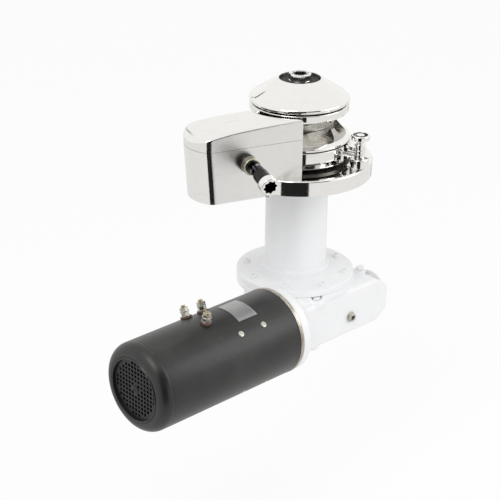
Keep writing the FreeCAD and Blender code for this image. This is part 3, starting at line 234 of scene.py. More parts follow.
world = bpy.data.worlds.new("studio")
scene.world = world
world.use_nodes = True
room = world.node_tree.nodes["Background"]
paths = world.node_tree.nodes.new("ShaderNodeLightPath")
either = world.node_tree.nodes.new("ShaderNodeMath")
either.operation = "MAXIMUM"
world.node_tree.links.new(paths.outputs["Is Camera Ray"], either.inputs[0])
world.node_tree.links.new(paths.outputs["Is Glossy Ray"], either.inputs[1])
wall = world.node_tree.nodes.new("ShaderNodeMix")
wall.data_type = "RGBA"
wall.inputs[6].default_value = (0.80, 0.80, 0.80, 1.0)
wall.inputs[7].default_value = (1.0, 0.995, 0.98, 1.0)
world.node_tree.links.new(either.outputs[0], wall.inputs[0])
world.node_tree.links.new(wall.outputs[2], room.inputs["Color"])


def lamp(name, place, aim, size, power):
    light = bpy.data.lights.new(name, "AREA")
    light.shape = "RECTANGLE"
    light.size, light.size_y = size
    light.energy = power
    made = bpy.data.objects.new(name, light)
    scene.collection.objects.link(made)
    made.location = place
    made.rotation_euler = (Vector(aim) - Vector(place)).to_track_quat("-Z", "Y").to_euler()
    return made


lamp("key", (-1.4, -1.0, 1.7), (0, 0, 0), (1.2, 1.2), 16)
lamp("fill", (1.8, -1.2, 1.0), (0, 0, -0.1), (1.4, 1.4), 10)

black_card = Finish("black_card", Roughness=1.0)
black_card.feed(Base_Color=black_card.mix(black_card.noise(60.0), (0.004, 0.004, 0.004), (0.010, 0.009, 0.009)))


def card(name, distance, centre, half_width, low, high):
    """Upright black card that only the polished metal sees, bent round the object; angles in degrees."""
    steps = 12
    points, faces = [], []
    for i in range(steps + 1):
        a = radians(centre - half_width + 2 * half_width * i / steps)
        for z in (low, high):
            points.append((distance * cos(a), distance * sin(a), z))
        if i:
            faces.append((2 * i - 2, 2 * i, 2 * i + 1, 2 * i - 1))
    made = mesh_object(name, points, faces, black_card.material)
    made.visible_camera = False
    made.visible_diffuse = False
    made.visible_shadow = False
    made.visible_transmission = False


CARD_DISTANCE, CARD_FOOT = 1100.0, FLOOR_Z + 5.0
card("card_front", CARD_DISTANCE, 240.0, 20.0, CARD_FOOT, 800.0)
card("card_front_high", CARD_DISTANCE, 276.0, 15.0, 90.0, 900.0)
card("card_right", CARD_DISTANCE, 35.0, 1.3, CARD_FOOT, 60.0)
card("card_back", CARD_DISTANCE, 100.0, 1.0, 350.0, 750.0)


# Base plate: cast stainless steel, turned and mirror polished outside, left as machined in the brake recess,
# where a dark colour is painted in as the shade under the band.
# The tray lets water out under the band, the raised pad carries the band's post, the spigot centres the tube.
HERE = Matrix.Identity(4)


def eased(profile, radius=0.4):
    """A closed outline with its corners rounded; a corner may bring its own radius as a third number."""
    count = len(profile)
    points = []
    for i, corner in enumerate(profile):
        p = np.array(corner[:2], float)
        r = corner[2] if len(corner) > 2 else radius
        a = np.array(profile[i - 1][:2], float) - p
        b = np.array(profile[(i + 1) % count][:2], float) - p
        la, lb = np.linalg.norm(a), np.linalg.norm(b)
        if r == 0 or p[0] == 0 or min(la, lb) < 1e-6:
            points.append(p)
            continue
        a, b = a / la, b / lb
        half = acos(max(-1.0, min(1.0, float(a @ b)))) / 2
        if half > 1.53 or half < 0.02:
            points.append(p)
            continue
        reach = min(r / tan(half), 0.48 * la, 0.48 * lb)
        r = reach * tan(half)
        centre = p + (a + b) / np.linalg.norm(a + b) * r / sin(half)
        start, end = p + a * reach - centre, p + b * reach - centre
        turn = pi - 2 * half
        steps = max(2, int(degrees(turn) / 15))
        for k in range(steps + 1):
            t = k / steps
            points.append(centre + (start * sin((1 - t) * turn) + end * sin(t * turn)) / sin(turn))
    return points


def turned(name, profile, material, frame=HERE, segments=128, radius=0.4, angle=30.0, ease=True):
    """A piece turned on a lathe: a closed outline of (radius, height) points about the frame's own Z."""
    points = eased(profile, radius) if ease else [np.array(p[:2], float) for p in profile]
    vertices, faces, rows = [], [], []
    for r, z in points:
        if r < 1e-6:
            rows.append([len(vertices)] * segments)
            vertices.append(frame @ Vector((0, 0, z)))
        else:
            rows.append(list(range(len(vertices), len(vertices) + segments)))
            for j in range(segments):
                a = 2 * pi * j / segments
                vertices.append(frame @ Vector((r * cos(a), r * sin(a), z)))
    for low, high in zip(rows, rows[1:] + rows[:1]):
        for j in range(segments):
            k = (j + 1) % segments
            corner = [low[j], low[k], high[k], high[j]]
            face = [v for i, v in enumerate(corner) if v not in corner[:i]]
            if len(face) > 2:
                faces.append(face)
    made = mesh_object(name, vertices, faces, material, angle)
    point_outwards(made)
    return made


def point_outwards(piece):
    work = bmesh.new()
    work.from_mesh(piece.data)
    bmesh.ops.remove_doubles(work, verts=work.verts, dist=1e-7)
    bmesh.ops.recalc_face_normals(work, faces=work.faces)
    work.to_mesh(piece.data)
    work.free()


def block(name, outline, low, high, material, frame=HERE, angle=30.0):
    """An outline in the frame's XY plane, drawn up between two heights."""
    count = len(outline)
    vertices = [frame @ Vector((x, y, z)) for z in (low, high) for x, y in outline]
    faces = [tuple(range(count)), tuple(range(count, 2 * count))]
    faces += [(i, (i + 1) % count, (i + 1) % count + count, i + count) for i in range(count)]
    made = mesh_object(name, vertices, faces, material, angle)
    point_outwards(made)
    return made


def arc_outline(inner, outer, start, end, steps=60):
    """Outline of part of a ring between two angles, in degrees."""
    turn = [radians(start + (end - start) * i / steps) for i in range(steps + 1)]
    back = [(inner * cos(a), inner * sin(a)) for a in turn[::-1]]
    return [(outer * cos(a), outer * sin(a)) for a in turn] + back


def rect(x0, x1, y0, y1):
    return [(x0, y0), (x1, y0), (x1, y1), (x0, y1)]


def disc(r, x=0.0, y=0.0, sides=64, turn=0.0):
    angles = [2 * pi * i / sides + turn for i in range(sides)]
    return [(x + r * cos(a), y + r * sin(a)) for a in angles]


def settle(piece):
    """Takes the modifiers' result as the piece's own mesh."""
    result = bpy.data.meshes.new_from_object(piece.evaluated_get(bpy.context.evaluated_depsgraph_get()))
    piece.modifiers.clear()
    piece.data = result


def carve(piece, *tools, way="DIFFERENCE"):
    """Cuts tools out of a piece, or joins them to it, and takes the tools away."""
    for tool in tools:
        step = piece.modifiers.new("cut", "BOOLEAN")
        step.operation, step.object, step.solver = way, tool, "EXACT"
    settle(piece)
    for tool in tools:
        bpy.data.objects.remove(tool)


def soften(piece, width=0.5, angle=30.0, segments=2):
    """Breaks the sharp edges, as deburring and polishing do."""
    step = piece.modifiers.new("edges", "BEVEL")
    step.width, step.segments, step.limit_method = width * MM, segments, "ANGLE"
    step.angle_limit = radians(angle)
    step.miter_outer = "MITER_ARC"
    settle(piece)
    shade(piece, 40.0)
    even = piece.modifiers.new("normals", "WEIGHTED_NORMAL")
    even.keep_sharp = True
    settle(piece)


def join(piece, *others):
    """Others become part of the piece's mesh, with their own materials."""
    with bpy.context.temp_override(active_object=piece, selected_editable_objects=[piece, *others]):
        bpy.ops.object.join()
    return piece


def fit(piece, body, slot, *stands_for):
    """The piece rides on its body and stands for its solids, which are hidden; the slot is not used."""
    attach(piece, body)
    if stands_for:
        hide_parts(*stands_for)
        piece.name = stands_for[0] + "_piece"
    return piece


def mirror_steel(name, tone=(0.87, 0.865, 0.845), rough=0.05, satin_below=None):
    """Polished stainless: slow waves of hand polishing, faint wipe marks and fine hair scratches.
    The near flank, past a given Y in metres, is belt ground to a satin sheen."""
    steel = Finish(name, Metallic=1.0)
    slow = steel.noise(14.0, 2.0, 0.4)
    wipe = steel.noise(55.0, 4.0, 0.6, steel.stretched(1.0, 1.0, 3.0))
    hair = steel.noise(900.0, 2.0, 0.5, steel.stretched(0.12, 0.12, 1.0))
    dull = steel.band(wipe, 0.45, 0.75)
    sheen = rough + 0.05 * dull + 0.02 * hair
    if satin_below:
        sheen = sheen + 0.26 * steel.band(steel.parts()[1], satin_below + 0.0006, satin_below)
    steel.feed(Base_Color=steel.mix(dull * 0.5, tone, tuple(0.93 * c for c in tone)), Roughness=sheen,
               Normal=steel.bump(hair, 0.02, 0.0001, steel.bump(slow, 0.03, 0.0015)))
    return steel.material


steel = mirror_steel("polished_steel")
cover_steel = mirror_steel("polished_cover", (0.85, 0.845, 0.83), 0.09, -0.0908)
# Brake recess finish: painted shade, a very dark metal colour for the shade under the band, mottled by noise.
shaded_recess_steel = Finish("turned_recess_painted_shade", Metallic=1.0)
grain = shaded_recess_steel.noise(260.0, 4.0, 0.6)
grease_and_shade = shaded_recess_steel.band(shaded_recess_steel.noise(35.0, 3.0), 0.35, 0.65)
shaded_recess_steel.feed(Base_Color=shaded_recess_steel.mix(grease_and_shade, (0.10, 0.095, 0.085), (0.20, 0.19, 0.175)),
                 Roughness=0.32 + 0.2 * grain, Normal=shaded_recess_steel.bump(grain, 0.15, 0.0002))

BASE_R, BASE_H = 128.0, 27.5
RECESS_R, RECESS_Z = 92.0, 24.8
TRAY_R, TRAY_Z = 121.0, 22.0
TUBE_R = 54.15
base = turned("base_plate", [(31, -18), (46, -18, 0.8), (46, 8), (TUBE_R, 8), (TUBE_R, 0), (BASE_R, 0, 1.2),
                             (BASE_R, BASE_H, 3.2), (RECESS_R, BASE_H, 0.6), (RECESS_R, RECESS_Z, 0.5),
                             (26, RECESS_Z), (26, 20.5), (18, 20.5), (18, 14), (31, 14)], steel, segments=256)
tray = block("tray", arc_outline(RECESS_R - 1, TRAY_R, 212.0, 298.0), TRAY_Z, 40.0, steel)
stud_holes = [block("stud_hole", disc(4.25, x, y, 32), -1, 16, steel) for x in (-55.0, 55.0)
              for y in (-70.0, 70.0)]


# Chain cover outline, used for the base's cut-out and for both halves of the cover.
# Straight flanks, a bulged nose with soft corners, and a hollow end that follows the chainwheel.
NEAR_Y, FAR_Y, COVER_CUT_R = -91.0, 0.0, 98.6
MIDDLE_Y = (NEAR_Y + FAR_Y) / 2
SEAM_Z, NOSE_LOW, NOSE_SEAM, NOSE_R, CORNER_R = 89.5, -219.5, -225.8, 60.0, 20.0
CORNER_Y = (FAR_Y - NEAR_Y) / 2 - CORNER_R


def nose_at(z):
    return NOSE_LOW + (NOSE_SEAM - NOSE_LOW) * min(z, SEAM_Z) / SEAM_Z


def cover_outline(inset, nose, cut=None):
    """The same number of points at every inset, so that outlines can be skinned one on another."""
    near, far = NEAR_Y + inset, FAR_Y - inset
    middle, half = (near + far) / 2, (far - near) / 2
    corner = max(CORNER_R - inset, 0.2)
    bow = NOSE_R - inset
    cut = cut or COVER_CUT_R + inset
    reach = half - corner
    lean = asin(reach / (bow - corner))
    centre = nose + NOSE_R
    turn_x = centre - (bow - corner) * cos(lean)
    start, end = -sqrt(cut ** 2 - near ** 2), -sqrt(cut ** 2 - far ** 2)
    points = [(start + (turn_x - start) * i / 24, near) for i in range(24)]
    for i in range(20):
        a = (pi / 2 - lean) * i / 20
        points.append((turn_x - corner * sin(a), middle - reach - corner * cos(a)))
    for i in range(24):
        a = -lean + 2 * lean * i / 24
        points.append((centre - bow * cos(a), middle + bow * sin(a)))
    for i in range(20):
        a = lean + (pi / 2 - lean) * i / 20
        points.append((turn_x - corner * cos(a), middle + reach + corner * sin(a)))
    points += [(turn_x + (end - turn_x) * i / 24, far) for i in range(24)]
    first, last = asin(far / cut), asin(near / cut)
    for i in range(32):
        a = first + (last - first) * i / 32
        points.append((-cut * cos(a), cut * sin(a)))
    return points


def skinned(name, rings, material, angle=30.0, close=True):
    """Outlines of equal count, each a list of points, skinned in turn; close joins the last to the first."""
    count = len(rings[0])
    vertices = [p for ring in rings for p in ring]
    faces = []
    pairs = list(zip(range(len(rings)), range(1, len(rings))))
    if close:
        pairs.append((len(rings) - 1, 0))
    for a, b in pairs:
        for j in range(count):
            k = (j + 1) % count
            faces.append((a * count + j, a * count + k, b * count + k, b * count + j))
    made = mesh_object(name, vertices, faces, material, angle)
    point_outwards(made)
    return made


socket_for_cover = block("cover_space", cover_outline(-0.05, nose_at(0.0)), -1.0, 40.0, steel)
carve(base, tray, *stud_holes, socket_for_cover)
pad = block("post_pad", arc_outline(96.0, 118.0, 299.0, 315.0, 16), 26.0, 30.0, steel)
soften(base, 0.5)


def mark(piece, material, chosen):
    """Gives a material to the faces that a test on their middle (radius, x, y, z) picks out."""
    if piece.data.materials.find(material.name) < 0:
        piece.data.materials.append(material)
    index = piece.data.materials.find(material.name)
    for face in piece.data.polygons:
        x, y, z = face.center / MM
        if chosen(sqrt(x * x + y * y), x, y, z):
            face.material_index = index


# The faces inside the brake recess take the dark finish: painted shade.
mark(base, shaded_recess_steel.material, lambda r, x, y, z: r < RECESS_R - 0.2 and 20.0 < z < RECESS_Z + 0.1)
soften(pad, 0.6)
join(base, pad)
fit(base, "deck_unit", "polished_steel", "base_plate")


# Deck tube: steel tube with a collar and a bolting flange, dipped in white enamel.
# Eight socket-head screws hold it to the gearbox and are painted over with it.
def enamel(name):
    """White stove enamel with orange peel and a little dust in patches."""
    paint = Finish(name, Metallic=0.0, Coat_Roughness=0.12, Specular_IOR_Level=0.5)
    peel = paint.noise(170.0, 2.0, 0.4)
    dust = paint.band(paint.noise(9.0, 5.0, 0.6), 0.45, 0.75)
    fine = paint.noise(700.0, 3.0, 0.6)
    paint.feed(Base_Color=paint.mix(dust * 0.45 + fine * 0.1, (0.90, 0.905, 0.915), (0.855, 0.86, 0.872)),
               Roughness=0.30 + 0.14 * fine, Coat_Weight=0.25 + 0.15 * dust,
               Normal=paint.bump(fine, 0.03, 0.0002, paint.bump(peel, 0.10, 0.0004)))
    return paint.material


white = enamel("white_enamel")
FLANGE_R, FLANGE_TOP, FLANGE_MID = 103.6, -184.3, -196.3
FLANGE_SCREW_R, FLANGE_SCREW_START, FLANGE_SCREWS = 88.0, 7, 8
tube = turned("deck_tube", [(46, FLANGE_MID), (FLANGE_R, FLANGE_MID, 0.8), (FLANGE_R, FLANGE_TOP, 1.6),
                            (60, FLANGE_TOP, 2.5), (60, -170, 3.0), (TUBE_R, -170, 2.0), (TUBE_R, 8, 0.2),
                            (46, 8)], white, segments=192)
fit(tube, "deck_unit", "white_paint", "deck_tube")


def hexagon(r, turn=0.0, x=0.0, y=0.0):
    return disc(r, x, y, 6, turn)


def socket_screw(name, r_head, head, r_shank, shank, frame, material):
    """Socket-head cap screw: knurl-free head with a broken edge and a hexagon hole."""
    made = turned(name, [(0, -shank), (r_shank, -shank, 0.5), (r_shank, 0), (r_head, 0, 0.2),
                         (r_head, head, 0.8), (0, head)], material, frame, 40)
    hole = block("hole", hexagon(r_head * 0.55), head * 0.4, head + 1, material, frame)
    carve(made, hole)
    shade(made, 30)
    return made


def at(x, y, z):
    return Matrix.Translation((x, y, z))


def tilt(axis, angle):
    return Matrix.Rotation(radians(angle), 4, axis)


def about_z(angle):
    return tilt("Z", angle)


screws = [socket_screw("flange_screw", 6.0, 4.5, 4.0, 22.0,
                       about_z(360 / FLANGE_SCREWS * i + FLANGE_SCREW_START)
                       @ at(FLANGE_SCREW_R, 0, FLANGE_TOP), white) for i in range(FLANGE_SCREWS)]
fit(join(*screws), "deck_unit", "white_paint", "flange_screws")


# Gearbox: cast aluminium in the same white enamel: round housing for the worm wheel, worm's box across it.
# The casting keeps its solid's form, with the soft edges and filled inner corners that sand casting gives.
MOTOR_TURN, WORM_Y, WORM_Z = 18.64, -59.0, -250.5
DRIVE = about_z(MOTOR_TURN)
casting = bpy.data.objects.new("gearbox_casting", nodes["gearbox_case"].data.copy())
scene.collection.objects.link(casting)
casting.data.materials.clear()
casting.data.materials.append(white)
weld = casting.modifiers.new("weld", "WELD")
weld.merge_threshold = 0.00001
shell = casting.modifiers.new("cast", "REMESH")
shell.mode, shell.voxel_size = "VOXEL", 0.0019
flow = casting.modifiers.new("flow", "SMOOTH")
flow.factor, flow.iterations = 0.5, 9
settle(casting)
casting.data.shade_smooth()
fit(casting, "deck_unit", "white_paint", "gearbox_case")

CASE_BOTTOM = -299.0
bottom = turned("gearbox_bottom", [(24, CASE_BOTTOM), (66, CASE_BOTTOM, 1.0), (66, CASE_BOTTOM + 6, 0.3),
                                   (53.7, CASE_BOTTOM + 6), (53.7, CASE_BOTTOM + 12), (24, CASE_BOTTOM + 12)],
                white, segments=128)
fit(bottom, "deck_unit", "white_paint", "gearbox_cover")
end_frame = DRIVE @ at(0, WORM_Y, WORM_Z) @ tilt("Y", 90)
worm_cover = turned("worm_cover", [(0, 137), (22, 137), (22, 122), (27.7, 122), (27.7, 137), (34, 137, 0.2),
                                   (34, 141, 1.0), (0, 141)], white, end_frame, 96)
fit(worm_cover, "deck_unit", "white_paint", "worm_end_cover")


def hex_head(name, r_corner, head, frame, material, turn=0.3, low=0.0):
    """Hexagon head or nut with the rounded-off corners that a real one has."""
    made = block(name, hexagon(r_corner, turn), low, low + head, material, frame)
    flat = r_corner * 0.866
    dome = turned("dome", [(0, low - 1), (r_corner + 1, low - 1), (r_corner + 1, low + head - 1.1),
                           (flat * 0.94, low + head), (0, low + head)], material, frame, 48, ease=False)
    carve(made, dome, way="INTERSECT")
    soften(made, 0.25)
    return made


bolts = []
for x, y, z in ((-38.0, WORM_Y - 31, WORM_Z + 47), (112.0, WORM_Y + 4, WORM_Z + 45)):
    seat = DRIVE @ at(x, y, z)
    bolts.append(hex_head("case_bolt", 7.5, 5.5, seat, white))
    bolts.append(turned("bolt_shank", [(0, -12), (4, -12), (4, 0.2), (0, 0.2)], white, seat, 40))
fit(join(*bolts), "deck_unit", "white_paint", "case_bolts")


# Oil level plug: plated hexagon plug with a sight bore, screwed into the near face over a washer.
def bright_metal(name, tone, rough, wear=0.25, grain_scale=380.0, grain_depth=0.05):
    """Plated or machined metal: uneven sheen, fine grain and lighter rubbed edges."""
    metal = Finish(name, Metallic=1.0)
    cloud = metal.band(metal.noise(120.0, 4.0, 0.6), 0.3, 0.75)
    fine = metal.noise(grain_scale, 3.0, 0.6)
    rubbed = metal.band(metal.worn_edges(), 0.02, 0.25)
    dark = tuple(0.72 * c for c in tone)
    light = tuple(min(1.18 * c, 0.95) for c in tone)
    metal.feed(Base_Color=metal.mix(rubbed * wear, metal.mix(cloud, dark, tone), light),
               Roughness=rough + 0.14 * cloud - 0.05 * rubbed,
               Normal=metal.bump(fine, grain_depth, 0.0002))
    return metal.material


plated = bright_metal("zinc_plate", (0.62, 0.60, 0.54), 0.24)
brass = bright_metal("brass", (0.62, 0.53, 0.36), 0.26)
dark_steel = bright_metal("shaft_steel", (0.42, 0.42, 0.43), 0.28)
PLUG = DRIVE @ at(40.8, WORM_Y - 42.0, -260.5) @ tilt("X", 90)
plug = turned("level_plug", [(0, -8), (6, -8), (6, 0), (9.5, 0), (9.5, 1.5, 0.5), (7.2, 1.6), (7.2, 6.3, 0.3),
                             (0, 6.3)], plated, PLUG, 48)
hex_part = hex_head("plug_hexagon", 8.0, 5.5, PLUG, plated, 0.2, 1.0)
sight = block("sight", disc(4.0, sides=40), 3.4, 9.0, plated, PLUG)
carve(plug, hex_part, way="UNION")
carve(plug, sight)
shade(plug, 30)
glass = Finish("sight_glass", Metallic=0.0, Coat_Weight=1.0, Coat_Roughness=0.03)
murk = glass.noise(300.0, 3.0)
glass.feed(Base_Color=glass.mix(murk, (0.012, 0.010, 0.008), (0.05, 0.04, 0.025)), Roughness=0.2 + 0.2 * murk)
eye = turned("sight_eye", [(0, 2.8), (4.02, 2.8), (4.02, 3.6, 0.1), (2.0, 3.9), (0, 4.0)], glass.material,
             PLUG, 40)
fit(join(plug, eye), "deck_unit", "brass", "level_plug")

bottom_screws = [socket_screw("bottom_screw", 5.0, 5.0, 3.0, 6.0, about_z(30 + 60 * i)
                              @ at(60.0, 0, CASE_BOTTOM) @ tilt("X", 180), plated)
                 for i in range(6)]
fit(join(*bottom_screws), "deck_unit", "zinc", "cover_screws")


# Motor: rolled steel can in satin black stove paint, with a machined steel ring where it meets the gearbox.
# The axis runs along the frame's Z from the gearbox's side (0) to the fan (negative X in the drive's frame).
def along_motor(x, angle=0.0):
    """Frame on the motor's axis at a distance, its Z outwards to the fan, turned about the axis."""
    return (DRIVE @ at(x, WORM_Y, WORM_Z) @ tilt("Y", -90)
            @ about_z(angle))


def on_can(x, angle):
    """Frame on the can's skin: Z outwards, X towards the gearbox; angle counted up from the near side."""
    a = radians(angle)
    out = Vector((0, -cos(a), sin(a)))
    ahead_x = Vector((1, 0, 0))
    side = out.cross(ahead_x)
    turn = Matrix((ahead_x, side, out)).transposed().to_4x4()
    return DRIVE @ Matrix.Translation(Vector((x, WORM_Y, WORM_Z)) + MOTOR_R * out) @ turn


MOTOR_R, CAN_START, CAN_END, MOUTH_R = 75.9, -117.0, -397.0, 52.0
black = Finish("satin_black", Metallic=0.0, Specular_IOR_Level=0.5, Coat_Roughness=0.25)
orange_peel = black.noise(240.0, 3.0, 0.5)
dusty = black.band(black.noise(11.0, 5.0, 0.65), 0.4, 0.8)
scuffs = black.band(black.noise(60.0, 6.0, 0.7, black.stretched(1.0, 1.0, 2.5)), 0.62, 0.70)
edge_wear = black.band(black.worn_edges(0.0008), 0.05, 0.4)
greyed = (dusty * 0.5 + scuffs * 0.35 + edge_wear * 0.4).low(1.0)
black.feed(Base_Color=black.mix(greyed, (0.0085, 0.0085, 0.0082), (0.034, 0.034, 0.033)),
           Roughness=0.33 + 0.10 * orange_peel + 0.08 * dusty, Coat_Weight=0.15 + 0.1 * dusty,
           Normal=black.bump(orange_peel, 0.16, 0.0003))
black = black.material
can = turned("motor_can", [(MOTOR_R - 5, 0), (MOTOR_R, 0, 0.5), (MOTOR_R, 280, 0.5), (MOTOR_R - 5, 280)],
             black, along_motor(CAN_START), 256)
shade(can, 40)

POLE_PLACES = [(x, 47.3 + 90 * k) for k in range(4) for x in (-233.3, -183.0)]
TERMINAL_PLACES = [(-279.0, 115.0), (-248.0, 110.0), (-275.0, 81.0)]
holes = [turned("sink", [(0, -1.2), (5.2, -1.2), (5.2, 4), (0, 4)], black, on_can(x, a), 40, ease=False)
         for x, a in POLE_PLACES]
carve(can, *holes)
shade(can, 40)
fit(can, "deck_unit", "black_paint", "motor_can")

ring_metal = Finish("turned_ring", Metallic=1.0)
tarnish = ring_metal.band(ring_metal.noise(45.0, 4.0, 0.6), 0.35, 0.7)
turning = ring_metal.noise(1400.0, 2.0, 0.5, ring_metal.stretched(1.0, 0.05, 0.05))
ring_metal.feed(Base_Color=ring_metal.mix(tarnish, (0.42, 0.39, 0.33), (0.66, 0.63, 0.56)),
                Roughness=0.22 + 0.14 * tarnish, Normal=ring_metal.bump(turning, 0.12, 0.0002))
ring_metal = ring_metal.material
ring = turned("motor_ring", [(26, 0), (MOTOR_R + 0.6, 0, 0.5), (MOTOR_R + 0.6, 4.4, 0.2), (MOTOR_R + 0.1, 4.6),
                             (MOTOR_R + 0.1, 5.2), (MOTOR_R + 0.6, 5.4, 0.2), (MOTOR_R + 0.6, 7, 0.5), (26, 7)],
              ring_metal, along_motor(-110.0), 224)
fit(ring, "deck_unit", "machined_steel", "motor_ring")

# End shield: pressed steel cup, rounded at the rim, in the same black; its mouth holds the fan grille.
DEPTH, RIM = 22.0, 3.0
cup = [(MOTOR_R, 0, 0.6), (MOTOR_R, RIM, 0)]
for i in range(1, 14):
    t = pi / 2 * i / 14
    cup.append((MOTOR_R - 18 * (1 - cos(t)), RIM + (DEPTH - RIM) * sin(t), 0))
cup += [(MOUTH_R + 5.0, DEPTH, 1.0), (MOUTH_R + 3.2, DEPTH - 1.6, 0.8), (MOUTH_R + 1.6, DEPTH + 1.1, 0.8),
        (MOUTH_R, DEPTH + 1.1, 0.5), (MOUTH_R, DEPTH - 6, 0.3), (MOTOR_R - 10, DEPTH - 8),
        (MOTOR_R - 5, -6), (MOTOR_R - 5, 0)]
shield = turned("end_shield", cup, black, along_motor(CAN_END), 224, angle=25)
fit(shield, "deck_unit", "black_paint", "end_shield")

# Grille: moulded black plastic, square holes on a square grid, with a boss in the middle.
plastic = Finish("moulded_plastic", Metallic=0.0, Specular_IOR_Level=0.45)
texture = plastic.noise(900.0, 3.0, 0.6)
dirt = plastic.band(plastic.noise(50.0, 4.0), 0.4, 0.75)
plastic.feed(Base_Color=plastic.mix(dirt * 0.6 + texture * 0.2, (0.008, 0.008, 0.008), (0.032, 0.032, 0.031)),
             Roughness=0.38 + 0.2 * texture, Normal=plastic.bump(texture, 0.12, 0.0002))
plastic = plastic.material
PITCH_MM, HALF_HOLE = 7.5, 2.6
grille_frame = along_motor(-414.5)
bars = turned("grille", [(0, -3), (MOUTH_R, -3), (MOUTH_R, 0, 0.6), (0, 0)], plastic, grille_frame, 128)
cutters = []
for i in range(-6, 7):
    for j in range(-6, 7):
        far = PITCH_MM * sqrt(i * i + j * j)
        if 9.0 < far < MOUTH_R - 5.5:
            x, y = i * PITCH_MM, j * PITCH_MM
            cutters.append(block("gap", rect(x - HALF_HOLE, x + HALF_HOLE, y - HALF_HOLE, y + HALF_HOLE),
                                 -5, 2, plastic, grille_frame))
holes = join(*cutters)
carve(bars, holes)
soften(bars, 0.35, 40, 1)
boss = turned("grille_boss", [(0, -2.9), (6.5, -2.9), (6.5, 1.3, 0.5), (3.4, 1.3, 0.4), (3.0, 0.2, 0.3),
                              (0, 0.2)], plastic, grille_frame, 48)
join(bars, boss)
fit(bars, "deck_unit", "black_plastic", "grille")


# Pole screws: plated countersunk screws with a cross recess, which hold the field magnets inside the can.
def cross_recess(frame, reach, depth, top, width=1.1):
    arms = rect(-reach, reach, -width / 2, width / 2), rect(-width / 2, width / 2, -reach, reach)
    return [block("recess", arm, top - depth, top + 2, plated, frame) for arm in arms]


poles = []
for x, angle in POLE_PLACES:
    seat = on_can(x, angle) @ about_z(25)
    made = turned("pole_screw", [(0, -5), (2.5, -5), (2.5, -1.2), (5.15, -1.2), (5.15, 0.15, 0.15),
                                 (3.6, 0.6, 0.4), (0, 0.75)], plated, seat, 40)
    carve(made, *cross_recess(seat, 2.9, 0.9, 0.75))
    shade(made, 30)
    poles.append(made)
fit(join(*poles), "deck_unit", "zinc", "pole_screws")


# Terminals: brass studs through red fibre washers, each with a plain washer and two plated nuts.
# The thread is cut on the stud and runs out of the upper nut.
def threaded(name, r_out, r_root, low, high, pitch, material, frame, sides=24):
    """A screw thread as a helical ridge skinned on its core."""
    turns = (high - low) / pitch
    count = int(turns * sides)
    rings = []
    for i in range(count + 1):
        a = 2 * pi * i / sides
        z = low + pitch * i / sides
        row = []
        for r, dz in ((r_root, -0.5), (r_out, -0.12), (r_out, 0.12), (r_root, 0.5)):
            row.append(frame @ Vector((r * cos(a), r * sin(a), min(max(z + dz * pitch, low), high))))
        rings.append(row)
    ridge = skinned(name, rings, material, 25, close=False)
    r_core = r_root + 0.02
    core = turned("core", [(0, low), (r_core, low), (r_core, high, 0.3), (0, high)], material, frame, 32)
    return join(ridge, core)


def grained(name, low, high, rough, spread, noise, depth, **constants):
    """One noise (scale, detail, roughness) gives the mottled colour, the sheen and the grain of given depth."""
    made = Finish(name, **constants)
    grit = made.noise(*noise)
    made.feed(Base_Color=made.mix(grit, low, high), Roughness=rough + spread * grit,
              Normal=made.bump(grit, *depth))
    return made.material


fibre = grained("red_fibre", (0.085, 0.045, 0.036), (0.15, 0.085, 0.065), 0.55, 0.2, (500.0, 4.0, 0.7),
                (0.2, 0.0002), Metallic=0.0)
studs, nuts, washers = [], [], []
for number, (x, angle) in enumerate(TERMINAL_PLACES):
    seat = on_can(x, angle)
    washers.append(turned("fibre_washer", [(4, 0.02), (10, 0.02, 0.3), (10, 3, 0.5), (4, 3)], fibre, seat, 56))
    studs.append(threaded("stud", 4.0, 3.35, 0.0, 21.9, 1.25, brass, seat))
    for low in (3.0, 10.6):
        top = low + 1.6
        nuts.append(turned("washer", [(4.1, low), (8, low, 0.2), (8, top, 0.3), (4.1, top)], plated, seat, 48))
        nuts.append(hex_head("nut", 7.5, 6.0, seat, plated, 0.4 * number + low, top))
fit(join(*washers), "deck_unit", "red_fibre", "terminal_insulators")
fit(join(*studs), "deck_unit", "brass", "terminal_studs")
fit(join(*nuts), "deck_unit", "zinc", "terminal_nuts")


# Rating plate: thin brushed aluminium bent round the can, left blank, with a rolled border.
plate_metal = Finish("brushed_plate", Metallic=1.0)
stroke = plate_metal.noise(700.0, 3.0, 0.6, plate_metal.stretched(0.06, 1.0, 1.0))
stain = plate_metal.band(plate_metal.noise(60.0, 5.0, 0.65), 0.40, 0.75)
dirty = stain * 0.35 + stroke * 0.4
plate_metal.feed(Base_Color=plate_metal.mix(dirty, (0.46, 0.46, 0.465), (0.30, 0.30, 0.305)),
                 Roughness=0.30 + 0.15 * stroke, Normal=plate_metal.bump(stroke, 0.1, 0.0002))
PLATE_X, PLATE_A = (-222.6, -181.8), (63.0, 104.0)


def on_skin(x, angle, lift):
    a = radians(angle)
    r = MOTOR_R + lift
    return DRIVE @ Vector((x, WORM_Y - r * cos(a), WORM_Z + r * sin(a)))


PLATE_BACK, PLATE_EDGE, PLATE_RIM, PLATE_FACE = 0.06, 0.62, 0.8, 0.6
half_section = [(0.0, PLATE_BACK), (0.0, PLATE_EDGE), (0.3, PLATE_RIM), (1.6, PLATE_RIM), (1.9, PLATE_FACE)]
rows = []
columns = 28
for i in range(columns + 1):
    angle = PLATE_A[0] + (PLATE_A[1] - PLATE_A[0]) * i / columns
    rows.append([on_skin(PLATE_X[0] + along, angle, lift) for along, lift in half_section]
                + [on_skin(PLATE_X[1] - along, angle, lift) for along, lift in half_section[::-1]])
plate = skinned("rating_plate", rows, plate_metal.material, 30, close=False)
fit(plate, "deck_unit", "label", "label_plate")
